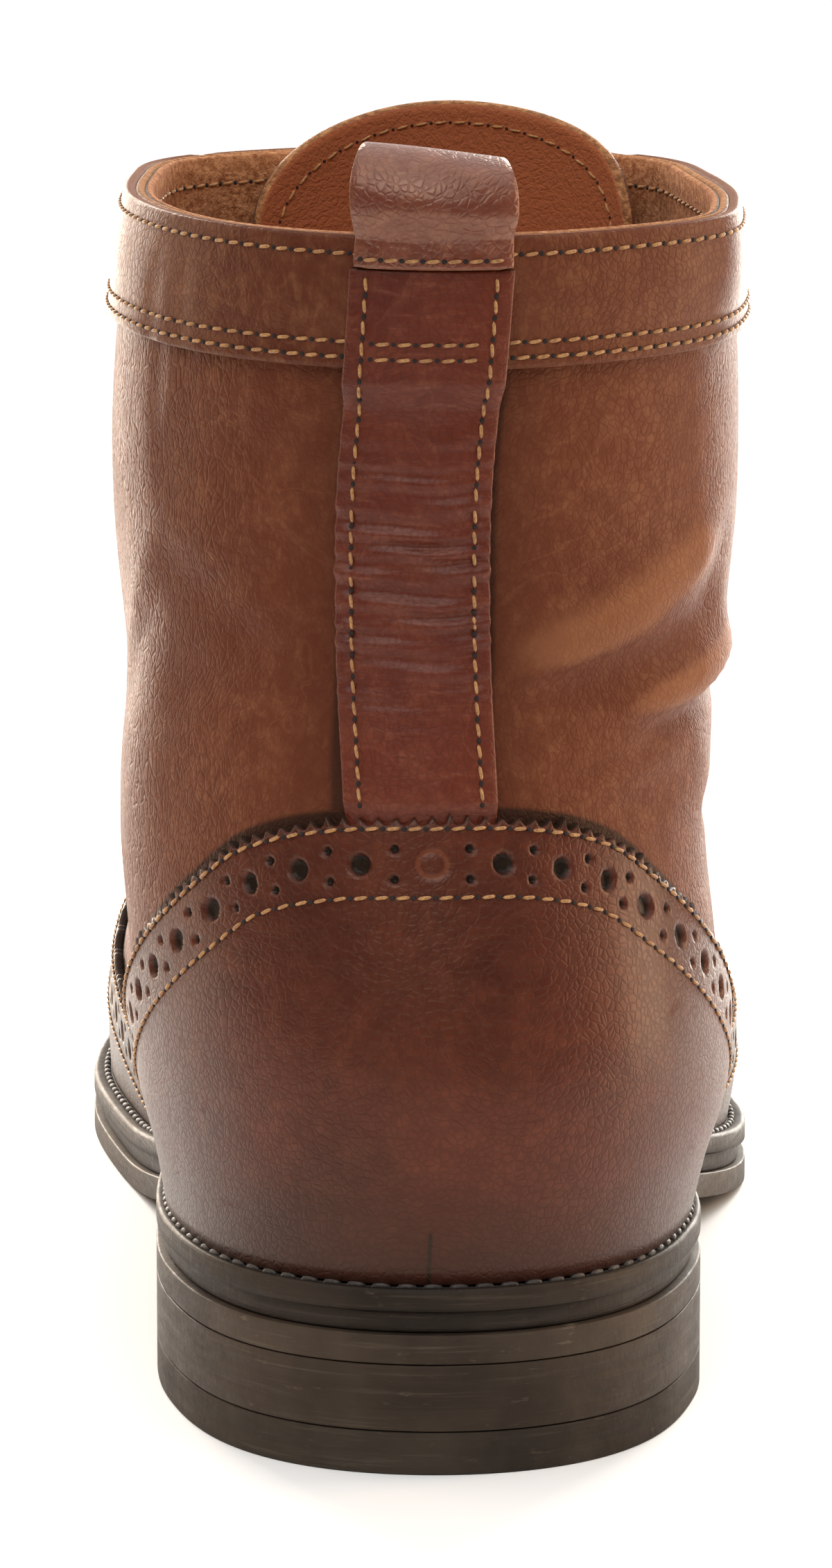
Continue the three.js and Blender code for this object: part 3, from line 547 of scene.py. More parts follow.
# A material under construction
class Finish:
    def __init__(self, owner):
        self.material = bpy.data.materials.new(owner) if isinstance(owner, str) else owner
        self.material.use_nodes = True
        self.tree = self.material.node_tree
        self.tree.nodes.clear()

    # Any node: its type, its settings, then the values or links of its sockets
    def add(self, kind, settings=None, inputs=None, output=0):
        node = self.tree.nodes.new("ShaderNode" + kind)
        for key, value in (settings or {}).items():
            setattr(node, key, value)
        for key, value in (inputs or {}).items():
            if isinstance(value, Wire):
                self.tree.links.new(value.socket, node.inputs[key])
            else:
                node.inputs[key].default_value = value
        return Wire(self, node.outputs[output]) if len(node.outputs) else None

    def place(self):                           # the object's own coordinates, in metres
        return self.add("TexCoord", output="Object")

    def parts(self, vector):
        return [self.add("SeparateXYZ", None, {0: vector}, k) for k in range(3)]

    def lay(self):                             # along the edge, below it, and from face to back
        return self.parts(self.add("Attribute", {"attribute_name": "lay"}, output="Vector"))

    def stretched(self, x, y, z, vector=None):
        return self.add("Mapping", None, {"Vector": vector or self.place(), "Scale": (x, y, z)})

    # Coordinates bent by a noise: its colour times an amount, added to the place
    def bent(self, scale, amount):
        colour = self.add("TexNoise", None, {"Vector": self.place(), "Scale": scale, "Detail": 2}, 1)
        return self.add("VectorMath", {"operation": "MULTIPLY_ADD"},
                        {0: colour, 1: (amount,) * 3, 2: self.place()})

    def noise(self, scale, detail=3.0, rough=0.5, vector=None, distortion=0.0):
        inputs = {"Vector": vector or self.place(), "Scale": scale, "Detail": detail, "Roughness": rough,
                  "Distortion": distortion}
        return self.add("TexNoise", None, inputs)

    def cells(self, scale, vector):            # distance to the border of the nearest cell
        return self.add("TexVoronoi", {"feature": "DISTANCE_TO_EDGE"}, {"Vector": vector, "Scale": scale})

    # Smooth step of a value from one figure to another, between two results
    def between(self, value, low, high, toLow=0.0, toHigh=1.0):
        return self.add("MapRange", {"interpolation_type": "SMOOTHSTEP"},
                        {"Value": value, "From Min": low, "From Max": high, "To Min": toLow,
                         "To Max": toHigh})

    def mix(self, factor, a, b):               # colour a turned into b by a factor
        def colour(c):
            return c if isinstance(c, Wire) else (*c, 1)
        return self.add("Mix", {"data_type": "RGBA"}, {0: factor, 6: colour(a), 7: colour(b)}, 2)

    def bump(self, value, distance, strength=1.0, normal=None):
        inputs = {"Height": value, "Distance": distance, "Strength": strength}
        if normal:
            inputs["Normal"] = normal
        return self.add("Bump", None, inputs)

    def close(self, inputs):                   # the shader and the material's output
        inputs = {k: ((*v, 1) if isinstance(v, tuple) and len(v) == 3 else v) for k, v in inputs.items()}
        shader = self.add("BsdfPrincipled", None, inputs)
        self.add("OutputMaterial", None, {"Surface": shader})
        return self.material


def srgb(r, g, b):                             # a screen colour of 0 to 255 as light
    return tuple(((c / 255 + 0.055) / 1.055) ** 2.4 if c > 10 else c / 255 / 12.92 for c in (r, g, b))


# Radii and distances in millimetres, the line's below the edge
punchPattern = {
    "pitch": 8.3, "line": 6.3, "big": 1.3, "small": 0.52, "pair": 1.8, "ring": 1.55, "depth": 0.85,
    "ringDepth": 0.3, "ringWidth": 0.3, "bigSlope": 0.25, "smallSlope": 0.2, "smallDepth": 0.9,
}


# Depth of the punched holes: round dips on the line at every pitch, with pairs of small ones half
# way between; the middle one is only a pressed ring
def punched(u, v):
    p = punchPattern
    du = u - p["pitch"] * np.round(u / p["pitch"])
    half = u - p["pitch"] * (np.floor(u / p["pitch"]) + 0.5)
    big = np.hypot(du, v - p["line"])
    small = np.hypot(half, abs(v - p["line"]) - p["pair"])
    middle = abs(u) < 0.5 * p["pitch"]
    ring = p["ringDepth"] * np.exp(-((big - p["ring"]) / p["ringWidth"]) ** 2)
    dip = np.where(middle, ring, 1 - ease((big - p["big"]) / p["bigSlope"] / 2 + 0.5))
    pair = p["smallDepth"] * (1 - ease((small - p["small"]) / p["smallSlope"] / 2 + 0.5))
    return p["depth"] * np.maximum(dip, pair)


# The same holes as masks in a material, which paints the holes near black as shade
def punchMasks(f, u, v):
    p = punchPattern
    du = u - (u / p["pitch"]).maths("ROUND") * p["pitch"]
    half = u - ((u / p["pitch"]).maths("FLOOR") + 0.5) * p["pitch"]
    dv = v - p["line"]
    rise = abs(dv) - p["pair"]
    big = (du * du + dv * dv) ** 0.5
    small = (half * half + rise * rise) ** 0.5
    away = f.between(abs(u), 0.45 * p["pitch"], 0.5 * p["pitch"])
    bigMask = f.between(big, p["big"] - 0.25, p["big"] + 0.15, 1.0, 0.0) * away
    smallMask = f.between(small, p["small"] - 0.15, p["small"] + 0.1, 1.0, 0.0)
    ringMask = f.between(abs(big - p["ring"]), 0.1, 0.45, 1.0, 0.0) * (1 - away)
    return bigMask.maths("MAXIMUM", smallMask), ringMask


slitPlace = {"u": -1.4, "v": (52.6, 53.2)}          # short slit in the counter, down to the sole, only a line of painted shade


# What all leathers share: scales of their patterns, and how deep their bumps are in metres
hide = {
    "bend": (60, 0.006), "cloud": 22, "fine": 330, "vein": 34, "pore": 1000, "crease": (900, 900, 420),
    "pebble": 130, "rub": (170, 170, 420), "smear": 45, "speck": 900, "fuzz": 1500,
    "poreDeep": 0.00012, "creaseDeep": 0.0003, "pebbleDeep": 0.0006, "crackDeep": 0.0002, "fuzzDeep": 0.0005,
    "crackFrom": 20 * mm, "crackTo": 40 * mm, "burnishWide": 9.0,
    # Of these colours only the burnish is the leather's own; the others are painted shade for the seam gaps,
    # the slit and the punched holes
    "burnish": srgb(72, 31, 20), "seamShade": srgb(30, 17, 13), "slit": srgb(24, 12, 9), "hole": srgb(20, 11, 8),
}


# Leather: a clouded colour with veins, darker in its pores, a cell grain, creases and a thin wax
def leather(name, look):
    f = Finish(name)
    x, _, z = f.parts(f.place())
    u, v, back = f.lay()
    bent = f.bent(*hide["bend"])
    cloud = f.noise(hide["cloud"], 5, 0.58, distortion=0.3)
    fine = f.noise(hide["fine"], 4, 0.65)
    streak = f.noise(1.0, 5, 0.62, f.stretched(*look.get("streak", hide["crease"]), bent))
    vein = f.between(abs(f.noise(hide["vein"], 4, 0.55, bent, 1.2) - 0.5), 0.0, 0.012, 1.0, 0.0)
    colour = f.mix(f.between(cloud, 0.3, 0.66), look["dark"], look["base"])
    colour = f.mix(f.between(fine, 0.4, 0.72) * 0.22, colour, look["light"])
    colour = f.mix(f.between(streak, 0.5, 0.72) * look.get("streaked", 0.3), colour, look["light"])
    colour = f.mix(vein * look.get("veined", 0.16), colour, look["light"])
    grain = f.between(f.cells(hide["pore"], bent), 0.0, 0.2)
    colour = f.mix((1 - grain) * 0.3, colour, look["dark"])
    rough = look["rough"] + (cloud - 0.5) * 0.3 + (1 - grain) * 0.1
    if "low" in look:                       # darker towards the sole, from one height to another
        top, bottom, shade = look["low"]
        height = z + (cloud - 0.5) * 0.02
        colour = f.mix(f.between(height, bottom * mm, top * mm, 0.85, 0.0), colour, shade)
    if "scuffed" in look:                   # rubbed patches, dark smears beside them, and the slit in painted shade
        rub = f.noise(1.0, 6, 0.7, f.stretched(*hide["rub"], bent))
        smear = f.noise(hide["smear"], 3, 0.55, bent, 0.6)
        colour = f.mix(f.between(rub, 0.6, 0.72) * look["scuffed"], colour, look["light"])
        colour = f.mix(f.between(smear, 0.5, 0.72) * 0.35, colour, look["dark"])
        # painted shade: a thin dark line in place of a cut
        slit = f.between(abs(u - slitPlace["u"]), 0.1, 0.3, 1.0, 0.0) * f.between(v, *slitPlace["v"])
        colour = f.mix(slit, colour, hide["slit"])
        rough = rough + f.between(rub, 0.6, 0.72) * 0.2
    normal = f.bump(grain, hide["poreDeep"], 0.4)
    normal = f.bump(streak, hide["creaseDeep"], look.get("creaseBump", 0.35), normal)
    normal = f.bump(f.noise(hide["pebble"], 4, 0.55), hide["pebbleDeep"], 0.3, normal)
    if "crackled" in look:                  # fine upright cracks towards both sides of the leg
        side = f.between(abs(x), hide["crackFrom"], hide["crackTo"])
        crack = f.between(f.cells(1.0, f.stretched(*hide["crease"], bent)), 0.0, 0.14)
        normal = f.bump(crack * side, hide["crackDeep"], look["crackled"], normal)
        colour = f.mix((1 - crack) * side * 0.2, colour, look["dark"])
    if look.get("seamed"):                  # burnish; painted shade at the seams; painted highlight and shade on folds
        offset = u - strip["halfWidth"]
        beside = f.between(offset, 0.0, 1.0, 0.8, 0.0)
        under = f.between(v, 0.0, 0.8, 1.0, 0.0)
        fold = back / foldShare
        colour = f.mix(f.between(offset, 0.0, hide["burnishWide"], 0.5, 0.0), colour, hide["burnish"])
        # painted highlight on the folds' ridges and painted shade in their troughs
        colour = f.mix(f.between(fold, 0.1, 0.9, 0.0, 0.5), colour, look["light"])
        colour = f.mix(f.between(fold, -1.1, -0.15, 0.6, 0.0), colour, look["dark"])
        # painted shade: near black in a thin line beside the strip and in the notches under the pinked edge,
        # where shadow falls
        colour = f.mix(beside.maths("MAXIMUM", under) * 0.85, colour, hide["seamShade"])
    if look.get("punched"):
        holes, ring = punchMasks(f, u, v)
        colour = f.mix(f.between(v, 0.8, 1.9, 0.85, 0.0), colour, look["edge"])
        # painted shade: the punched holes are coloured near black
        colour = f.mix(holes, colour, hide["hole"])
        colour = f.mix(ring * 0.5, colour, look["light"])
        rough = rough + holes * 0.3
    if "edge" in look:                      # cut edge, and the flesh side behind it
        cut = f.between(back, 0.12, 0.3)
        speck = f.between(f.noise(hide["speck"], 4, 0.7), 0.35, 0.65)
        colour = f.mix(cut, colour, f.mix(speck, look["edge"], look.get("edgeLight", look["edge"])))
        rough = rough + cut * 0.35
        normal = f.bump(f.noise(hide["fuzz"], 3, 0.7) * cut, hide["fuzzDeep"], 0.6, normal)
    if "flesh" in look:                     # the whole back face
        flesh = f.mix(cloud, look["flesh"], look["fleshLight"])
        colour = f.mix(f.between(back, 0.9, 0.98), colour, flesh)
    return f.close({"Base Color": colour, "Roughness": rough, "Normal": normal,
                    "Coat Weight": look.get("coat", 0.0), "Coat Roughness": look.get("coatRough", 0.3),
                    "Sheen Weight": look.get("sheen", 0.06), "Sheen Roughness": 0.35,
                    "Sheen Tint": (1.0, 0.86, 0.72, 1), "Specular IOR Level": look.get("gloss", 0.22),
                    "Specular Tint": look.get("tint", (1.0, 0.76, 0.58, 1))})


looks = {
    "quarter": {"base": srgb(102, 53, 33), "dark": srgb(90, 43, 27), "light": srgb(150, 98, 66),
                "edge": srgb(140, 92, 58), "edgeLight": srgb(178, 128, 86), "rough": 0.55, "streaked": 0.2,
                "crackled": 0.7, "seamed": True, "gloss": 0.2, "tint": (1.0, 0.72, 0.5, 1)},
    "counter": {"base": srgb(82, 33, 21), "dark": srgb(56, 20, 14), "light": srgb(120, 64, 42),
                "edge": srgb(30, 16, 12), "low": (44, 22, srgb(38, 20, 15)), "rough": 0.4, "punched": True,
                "coat": 0.16, "coatRough": 0.22, "streak": (260, 260, 900), "streaked": 0.1, "veined": 0.1,
                "scuffed": 0.1, "sheen": 0.02, "gloss": 0.32, "tint": (1.0, 0.68, 0.45, 1)},
    "band": {"base": srgb(102, 53, 33), "dark": srgb(82, 38, 24), "light": srgb(148, 98, 64),
             "edge": srgb(110, 62, 38), "rough": 0.5, "streak": (900, 900, 200), "coat": 0.06},
    "strip": {"base": srgb(100, 40, 23), "dark": srgb(74, 25, 17), "light": srgb(140, 80, 58),
              "edge": srgb(40, 20, 15), "rough": 0.4, "streak": (180, 400, 1400), "streaked": 0.3,
              "creaseBump": 0.7, "coat": 0.18, "coatRough": 0.25, "tint": (1.0, 0.86, 0.72, 1)},
    "loop": {"base": srgb(116, 54, 36), "dark": srgb(88, 38, 27), "light": srgb(164, 106, 78),
             "edge": srgb(150, 78, 34), "edgeLight": srgb(206, 132, 76), "rough": 0.32, "gloss": 0.8,
             "streak": (300, 300, 700), "coat": 0.12},
    # The lining's colours: its own dark brown, set darker still as painted shade for the shadow inside the
    # boot
    "lining": {"base": srgb(64, 30, 20), "dark": srgb(50, 23, 16), "light": srgb(92, 52, 36),
               "edge": srgb(140, 86, 54), "edgeLight": srgb(186, 132, 92), "rough": 0.65},
    "tongue": {"base": srgb(112, 62, 42), "dark": srgb(88, 44, 30), "light": srgb(140, 92, 66),
               "edge": srgb(120, 76, 46), "edgeLight": srgb(178, 126, 82), "rough": 0.55, "coat": 0.08,
               "flesh": srgb(150, 80, 50), "fleshLight": srgb(180, 106, 68)},
    "insole": {"base": srgb(150, 108, 72), "dark": srgb(118, 80, 52), "light": srgb(178, 136, 98),
               "rough": 0.7},
}


# Sole edge: dressed leather with layers along its height, rubbed lighter on its corners
def dressedEdge(name, base, dark, light, rough=0.55, layers=1600):
    f = Finish(name)
    cloud = f.noise(40, 4, 0.6)
    lines = f.noise(1.0, 4, 0.6, f.stretched(60, 60, layers))
    scuff = f.noise(1.0, 5, 0.65, f.stretched(260, 260, 900))
    colour = f.mix(f.between(cloud, 0.35, 0.65), dark, base)
    colour = f.mix(f.between(lines, 0.55, 0.8) * 0.35, colour, light)
    colour = f.mix(f.between(scuff, 0.6, 0.75) * 0.5, colour, light)
    normal = f.bump(lines, 0.0003, 0.5)
    normal = f.bump(f.noise(700, 4, 0.6), 0.0003, 0.4, normal)
    return f.close({"Base Color": colour, "Roughness": rough + (scuff - 0.5) * 0.4, "Normal": normal,
                    "Specular IOR Level": 0.22, "Specular Tint": (1.0, 0.85, 0.7, 1)})


# Waxed thread: soft fibres over darker patches
def thread(name, base, dark):
    f = Finish(name)
    fibres = f.noise(2600, 3, 0.6)
    patch = f.noise(90, 2, 0.5)
    colour = f.mix(f.between(fibres, 0.3, 0.7), dark, base)
    colour = f.mix(f.between(patch, 0.5, 0.75) * 0.5, colour, dark)
    return f.close({"Base Color": colour, "Roughness": 0.6, "Normal": f.bump(fibres, 0.0002, 0.6),
                    "Coat Weight": 0.1, "Sheen Weight": 0.2})


def needleHoleShade():                               # painted shade of a needle hole, as a dark mark
    f = Finish("needleHole")
    speck = f.noise(900, 3, 0.5)
    return f.close({"Base Color": f.mix(speck, srgb(16, 10, 8), srgb(40, 24, 18)), "Roughness": 0.85,
                    "Normal": f.bump(speck, 0.0002, 0.3)})


# Aged brass: polished where it is rubbed, brown in its hollows
def agedBrass():
    f = Finish("agedBrass")
    patina = f.between(f.noise(500, 4, 0.6), 0.4, 0.65)
    return f.close({"Base Color": f.mix(patina, srgb(150, 122, 74), srgb(84, 62, 38)),
                    "Roughness": 0.28 + patina * 0.3, "Metallic": 1 - patina * 0.35,
                    "Normal": f.bump(f.noise(1800, 3, 0.5), 0.0001, 0.3)})


# Twisted cotton: diagonal strands, a sine of the place along plus the place round the lace
def laceCotton():
    f = Finish("laceCotton")
    u, v, _ = f.lay()
    braid = ((u + v) * 3.4).maths("SINE")
    colour = f.mix(f.between(braid, -0.2, 0.9), srgb(34, 20, 14), srgb(78, 50, 34))
    return f.close({"Base Color": colour, "Roughness": 0.8, "Normal": f.bump(braid, 0.0003, 0.7),
                    "Sheen Weight": 0.3})


# Colours of the dressed edges: base, dark and light; then the roughness and the fineness of the layers
edgeLooks = {
    # The welt's colours: its own dark brown, set darker still as painted shade for the shadow on its top
    # under the upper
    "welt": ("weltEdge", srgb(48, 39, 32), srgb(28, 22, 18), srgb(94, 82, 68)),
    "midsole": ("midsoleEdge", srgb(46, 39, 34), srgb(30, 25, 22), srgb(84, 72, 62)),
    "outsole": ("outsoleEdge", srgb(68, 56, 46), srgb(42, 34, 28), srgb(114, 100, 84)),
    "stack": ("heelStack", srgb(60, 49, 40), srgb(40, 32, 26), srgb(104, 89, 75), 0.55, 2500),
    "rubber": ("heelRubber", srgb(56, 48, 40), srgb(36, 30, 26), srgb(92, 82, 70), 0.7),
}
finishes = {name: leather(name + "Leather", look) for name, look in looks.items()}
finishes |= {name: dressedEdge(*look) for name, look in edgeLooks.items()}
finishes["goldThread"] = thread("goldThread", srgb(190, 139, 78), srgb(144, 94, 48))
finishes["weltThread"] = thread("weltThread", srgb(52, 40, 31), srgb(28, 21, 17))
finishes["pit"] = needleHoleShade()
finishes["brass"] = agedBrass()
finishes["lace"] = laceCotton()
print("materials ready")


# Panels with pinked edges: the counter round the heel and the wing cap round the toe. Each edge is a
# table of turns from the panel's middle and levels.
pinked = {
    "bandDepth": 13.0, "face": 1.5, "back": 0.06, "tooth": 2.05, "toothDepth": 1.7, "toothFade": 4.0,
    "nearDepth": 2.4, "nearRows": 9, "edgeDip": 0.3, "edgeDipWidth": 0.35, "stitchRows": (2.1, 10.3),
    "marchSteps": 28, "turnSamples": 6001,
}
counter = {
    **pinked, "columns": 700, "bandRows": 34, "lowRows": 12, "round": True, "smooth": 18,
    "edgeTurns": [0.00, 0.24, 0.34, 0.44, 0.54, 0.70, 0.85, 1.00, 1.31],
    "edgeLevels": [0.509, 0.505, 0.4965, 0.478, 0.440, 0.372, 0.296, 0.213, 0.045],
}
wing = {
    **pinked, "columns": 760, "bandRows": 24, "lowRows": 14, "round": False, "smooth": 0,
    "edgeTurns": [0.00, 0.25, 0.55, 0.95, 1.35, 1.80],
    "edgeLevels": [0.470, 0.395, 0.325, 0.250, 0.190, 0.060],
}


# Upper: an outer leather and a lining, split down the throat above the vamp. Rows are below the
# throat's foot, round its bend and above it.
upper = {
    "columns": 284, "rows": (52, 7, 44), "face": 0.0, "back": -1.15, "edgeBulge": 0.3,
    "liningColumns": 180, "liningRows": (26, 5, 26), "liningFace": -1.2, "liningBack": -2.25,
    "crowd": 0.42,                       # how much closer the columns lie at the back
    "throatFoot": 0.575, "throatLow": 4.5, "throatHigh": 8.0, "throatRound": 0.03,
}


# Half the throat's width: an even widening, rounded at the foot by a quarter circle
def throatGap(level):
    up = np.clip((level - upper["throatFoot"]) / (1 - upper["throatFoot"]), 0, 1)
    turned = np.clip((level - upper["throatFoot"]) / upper["throatRound"], 0, 1)
    rounding = np.sqrt(np.maximum(0.0, 1 - (1 - turned) ** 2))
    return lerp(upper["throatLow"], upper["throatHigh"], up) * rounding


# Angles of a sheet that runs all round and parts at the throat
def wrapAngles(levels, columns):
    a = np.linspace(-1, 1, columns)
    a = a - upper["crowd"] * np.sin(math.pi * a) / math.pi
    half = np.where(levels > upper["throatFoot"], frontAngle(throatGap(levels), levels), 0)
    return a[None, :] * (math.pi - half)[:, None]


# Levels of the rows: even ones, then closer ones where the throat's foot is round
def upperLevels(counts):
    foot = upper["throatFoot"]
    bend = foot + upper["throatRound"] * (1 - np.cos(np.linspace(0, math.pi / 2, counts[1])))
    below = np.linspace(0, foot, counts[0])[:-1]
    return np.concatenate([below, bend, np.linspace(bend[-1], 1, counts[2])[1:]])


# Level of a panel's top edge at a turn from its middle; round or pointed there
def edgeLevelAt(shape, turn):
    turns, levels = shape["edgeTurns"], shape["edgeLevels"]
    if shape["round"]:
        turns, levels = [-turns[1], *turns], [levels[1], *levels]
    return throughKnots(turns, levels, abs(turn))


farAway = 99              # millimetres, for what lies beside no seam


# Place beside the seams: off the strip's middle line, and above the edge of the nearer panel,
# square to that edge; then a share of the folds' height. The quarter's material reads them for
# painted shade at the seams and painted highlight and shade on the folds
def seamLay(angle, level):
    behind = np.cos(angle) > 0
    fromStrip = abs(skin(angle, level)[..., 0] - loopShift(0 * angle, level) - stripX(level))
    offset = np.where(behind, fromStrip, farAway)

    def edgeAt(extra):
        turn = np.arcsin(np.sin(angle)) * np.where(behind, 1, -1) + extra
        edge = np.where(behind, edgeLevelAt(counter, turn), edgeLevelAt(wing, turn))
        return skin(angle + extra, np.clip(edge, 0, 1))

    foot = edgeAt(0.0)
    along = unit(edgeAt(0.004) - edgeAt(-0.004))
    gap = skin(angle, level) - foot
    square = gap - along * np.sum(gap * along, -1, keepdims=True)
    above = np.linalg.norm(square, axis=-1) * np.sign(gap[..., 2])
    return np.stack([offset, above, foldShare * relief(angle, level)], -1)


def buildUpper(name, finish, counts, columns, face, back):
    levels = upperLevels(counts)
    angle = wrapAngles(levels, columns)
    level = np.repeat(levels[:, None], columns, 1)
    patches = sheetPatches(leatherPoint(angle, level, face), leatherPoint(angle, level, back),
                           upper["edgeBulge"], seamLay(angle, level), counts[0] - 1)
    makePiece(name, patches, finishes[finish], ["upper"])


buildUpper("upper_leather", "quarter", upper["rows"], upper["columns"], upper["face"], upper["back"])
buildUpper("upper_lining", "lining", upper["liningRows"], upper["liningColumns"], upper["liningFace"],
           upper["liningBack"])
print("upper ready")


# Moving average along a row of vectors, weighted by a raised cosine
def smoothed(vectors, reach):
    window = np.hanning(2 * reach + 3)[1:-1]
    padded = np.pad(vectors, ((reach, reach), (0, 0)), "edge")
    return np.stack([np.convolve(padded[:, k], window / window.sum(), "valid") for k in range(3)], -1)


# Levels: the half step of the slopes, where steps get shorter, and the last one kept. Shares: the
# least the course may go square to the edge, and the shortest stride. Rounds: of shortening.
marching = {
    "probe": 0.003, "floor": 0.004, "last": 0.002, "leastSquare": 0.25, "leastStride": 0.02, "rounds": 3,
}


# Curves on the skin at growing distances inside an edge. Each place keeps one course laid flat on the
# skin: the smoothed square to the edge, or straight down under a pointed one. A step along it is long
# enough to get the stride away from the edge, and is solved for angle and level by least squares.
# Near the sole, steps are shorter. Slant is how far along the edge a course runs for its distance.
def marchInside(edgeAngle, edgeLevel, depth, steps, smooth):
    h = marching["probe"]

    def slopes(angle, level):
        held = np.clip(level, h, 1 - h)
        alongAngle = (skin(angle + h, held) - skin(angle - h, held)) / (2 * h)
        alongLevel = (skin(angle, held + h) - skin(angle, held - h)) / (2 * h)
        return alongAngle, alongLevel, unit(np.cross(alongAngle, alongLevel))

    edge = skin(edgeAngle, edgeLevel)
    along = unit(np.gradient(edge, axis=0))
    upward, normal = slopes(edgeAngle, edgeLevel)[1:]
    square = unit(np.cross(along, normal))
    square = square * np.where(np.sum(square * upward, -1, keepdims=True) > 0, -1, 1)
    course = unit(smoothed(square, smooth)) if smooth else -unit(upward)
    longer = 1 / np.maximum(np.sum(course * square, -1), marching["leastSquare"])
    slant = np.sum(course * along, -1) * longer

    def march(stride):
        angle, level = edgeAngle, edgeLevel
        angles, levels = [angle], [level]
        for _ in range(steps):
            alongAngle, alongLevel, normal = slopes(angle, level)
            flat = unit(course - normal * np.sum(course * normal, -1, keepdims=True))
            step = flat if smooth else -unit(alongLevel)
            aa = np.sum(alongAngle ** 2, -1)
            bb = np.sum(alongLevel ** 2, -1)
            ab = np.sum(alongAngle * alongLevel, -1)
            pa = np.sum(alongAngle * step, -1) * stride * longer
            pb = np.sum(alongLevel * step, -1) * stride * longer
            det = aa * bb - ab * ab
            angle = angle + (pa * bb - pb * ab) / det
            level = level + (pb * aa - pa * ab) / det
            angles.append(angle)
            levels.append(level)
        return np.array(angles), np.array(levels)

    stride = np.full(len(edgeAngle), depth / steps)
    for _ in range(marching["rounds"]):
        lowest = march(stride)[1].min(0)
        fall = (edgeLevel - marching["floor"]) / np.maximum(edgeLevel - lowest, 1e-6)
        stride = stride * np.clip(np.where(lowest < marching["floor"], fall, 1), marching["leastStride"], 1)
    angles, levels = march(stride)
    return angles, np.maximum(levels, marching["last"]), stride * steps, slant


# Panel with a pinked edge: rows at distances below the edge, its first rows pushed in by a row of
# half circles between the teeth, then straight rows down to the sole
def pinkedPanel(name, shape, middle, node):
    depth = shape["bandDepth"]
    count = shape["columns"]
    turn = np.linspace(-shape["edgeTurns"][-1], shape["edgeTurns"][-1], shape["turnSamples"])
    level = edgeLevelAt(shape, turn)
    run = pathLength(skin(middle + turn, level))
    even = np.linspace(0, run[-1], count)
    edgeAngle = middle + np.interp(even, run, turn)
    edgeLevel = np.interp(even, run, level)
    u = even - np.interp(0, turn, run)
    steps = shape["marchSteps"]
    angles, levels, reach, slant = marchInside(edgeAngle, edgeLevel, depth, steps, shape["smooth"])

    def at(v):                                  # angle and level at distances below the edge
        place = np.clip(v / reach, 0, 1) * steps
        i = np.minimum(place.astype(int), steps - 1)
        k = np.broadcast_to(np.arange(count), i.shape)
        return [lerp(grid[i, k], grid[i + 1, k], place - i) for grid in (angles, levels)]

    near = np.concatenate([np.linspace(0, shape["nearDepth"], shape["nearRows"]),
                           np.linspace(shape["nearDepth"], depth, shape["bandRows"])[1:]])
    share = reach / depth
    wave = abs(2 * (u / shape["tooth"] - np.floor(u / shape["tooth"] + 0.5)))
    tooth = shape["toothDepth"] * np.sqrt(1 - (1 - wave) ** 2)
    v = near[:, None] * share[None, :]
    v = v + tooth * np.clip(1 - v / shape["toothFade"], 0, 1) * np.clip(share, 0, 1)
    bandAngle, bandLevel = at(v)
    lowLevel = bandLevel[-1] * (1 - np.linspace(0, 1, shape["lowRows"] + 1)[1:, None])
    angle = np.vstack([bandAngle, np.repeat(bandAngle[-1:], shape["lowRows"], 0)])
    level = np.vstack([bandLevel, lowLevel])
    below = np.vstack([v, v[-1:] + (bandLevel[-1] - lowLevel) * last["legHeight"]])
    lay = np.stack([u + np.minimum(below, depth) * slant, below, np.zeros(level.shape)], -1)
    dip = shape["edgeDip"] * np.exp(-(below - tooth) / shape["edgeDipWidth"])
    outer = leatherPoint(angle, level, shape["face"] - punched(lay[..., 0], below) - dip)
    inner = leatherPoint(angle, level, shape["back"])
    makePiece(name, sheetPatches(outer, inner, 0.1, lay), finishes["counter"], [node])

    rows = []
    for distance in shape["stitchRows"]:
        kept = (reach > distance + 0.5) & (edgeLevel > 0.08)
        rowAngle, rowLevel = at(np.full(count, distance))
        line = leatherPoint(rowAngle, rowLevel, shape["face"] + 0.02)
        rows.append((line[kept], outward(rowAngle, rowLevel)[kept]))
    sewRows(name + "_stitches", rows, fineStitch)


pinkedPanel("counter_leather", counter, 0.0, "counter")
print("counter ready")
pinkedPanel("wing_leather", wing, math.pi, "wing_toe_cap")
print("wing cap ready")


# Facings beside the throat, with a row of stitches near each long edge
facing = {"width": 19.0, "gap": 0.6, "face": 1.5, "back": 0.05, "rows": 70, "columns": 24, "foot": 0.555,
          "stitchShares": (0.1, 0.9), "bulge": 0.2}


def facingTurns(levels, shares):
    inner = frontAngle(throatGap(np.maximum(levels, upper["throatFoot"] + 0.03)) + facing["gap"], levels)
    outer = frontAngle(throatGap(levels) + facing["width"], levels)
    return inner[:, None] + (outer - inner)[:, None] * shares[None, :]


def buildFacings():
    rows = []
    for side, node in ((1, "eyestay_lateral"), (-1, "eyestay_medial")):
        levels = np.linspace(facing["foot"], 1, facing["rows"])
        shares = np.linspace(0, 1, facing["columns"])
        angle = side * (math.pi - facingTurns(levels, shares))
        level = np.repeat(levels[:, None], facing["columns"], 1)
        outer = leatherPoint(angle, level, facing["face"])
        inner = leatherPoint(angle, level, facing["back"])
        makePiece("facing_" + node.split("_")[1], sheetPatches(outer, inner, facing["bulge"]),
                  finishes["band"], [node])
        for share in facing["stitchShares"]:
            line = side * (math.pi - facingTurns(levels, np.array([share]))[:, 0])
            rows.append((leatherPoint(line, levels, facing["face"]), outward(line, levels)))
    sewRows("facing_stitches", rows, fineStitch)


buildFacings()


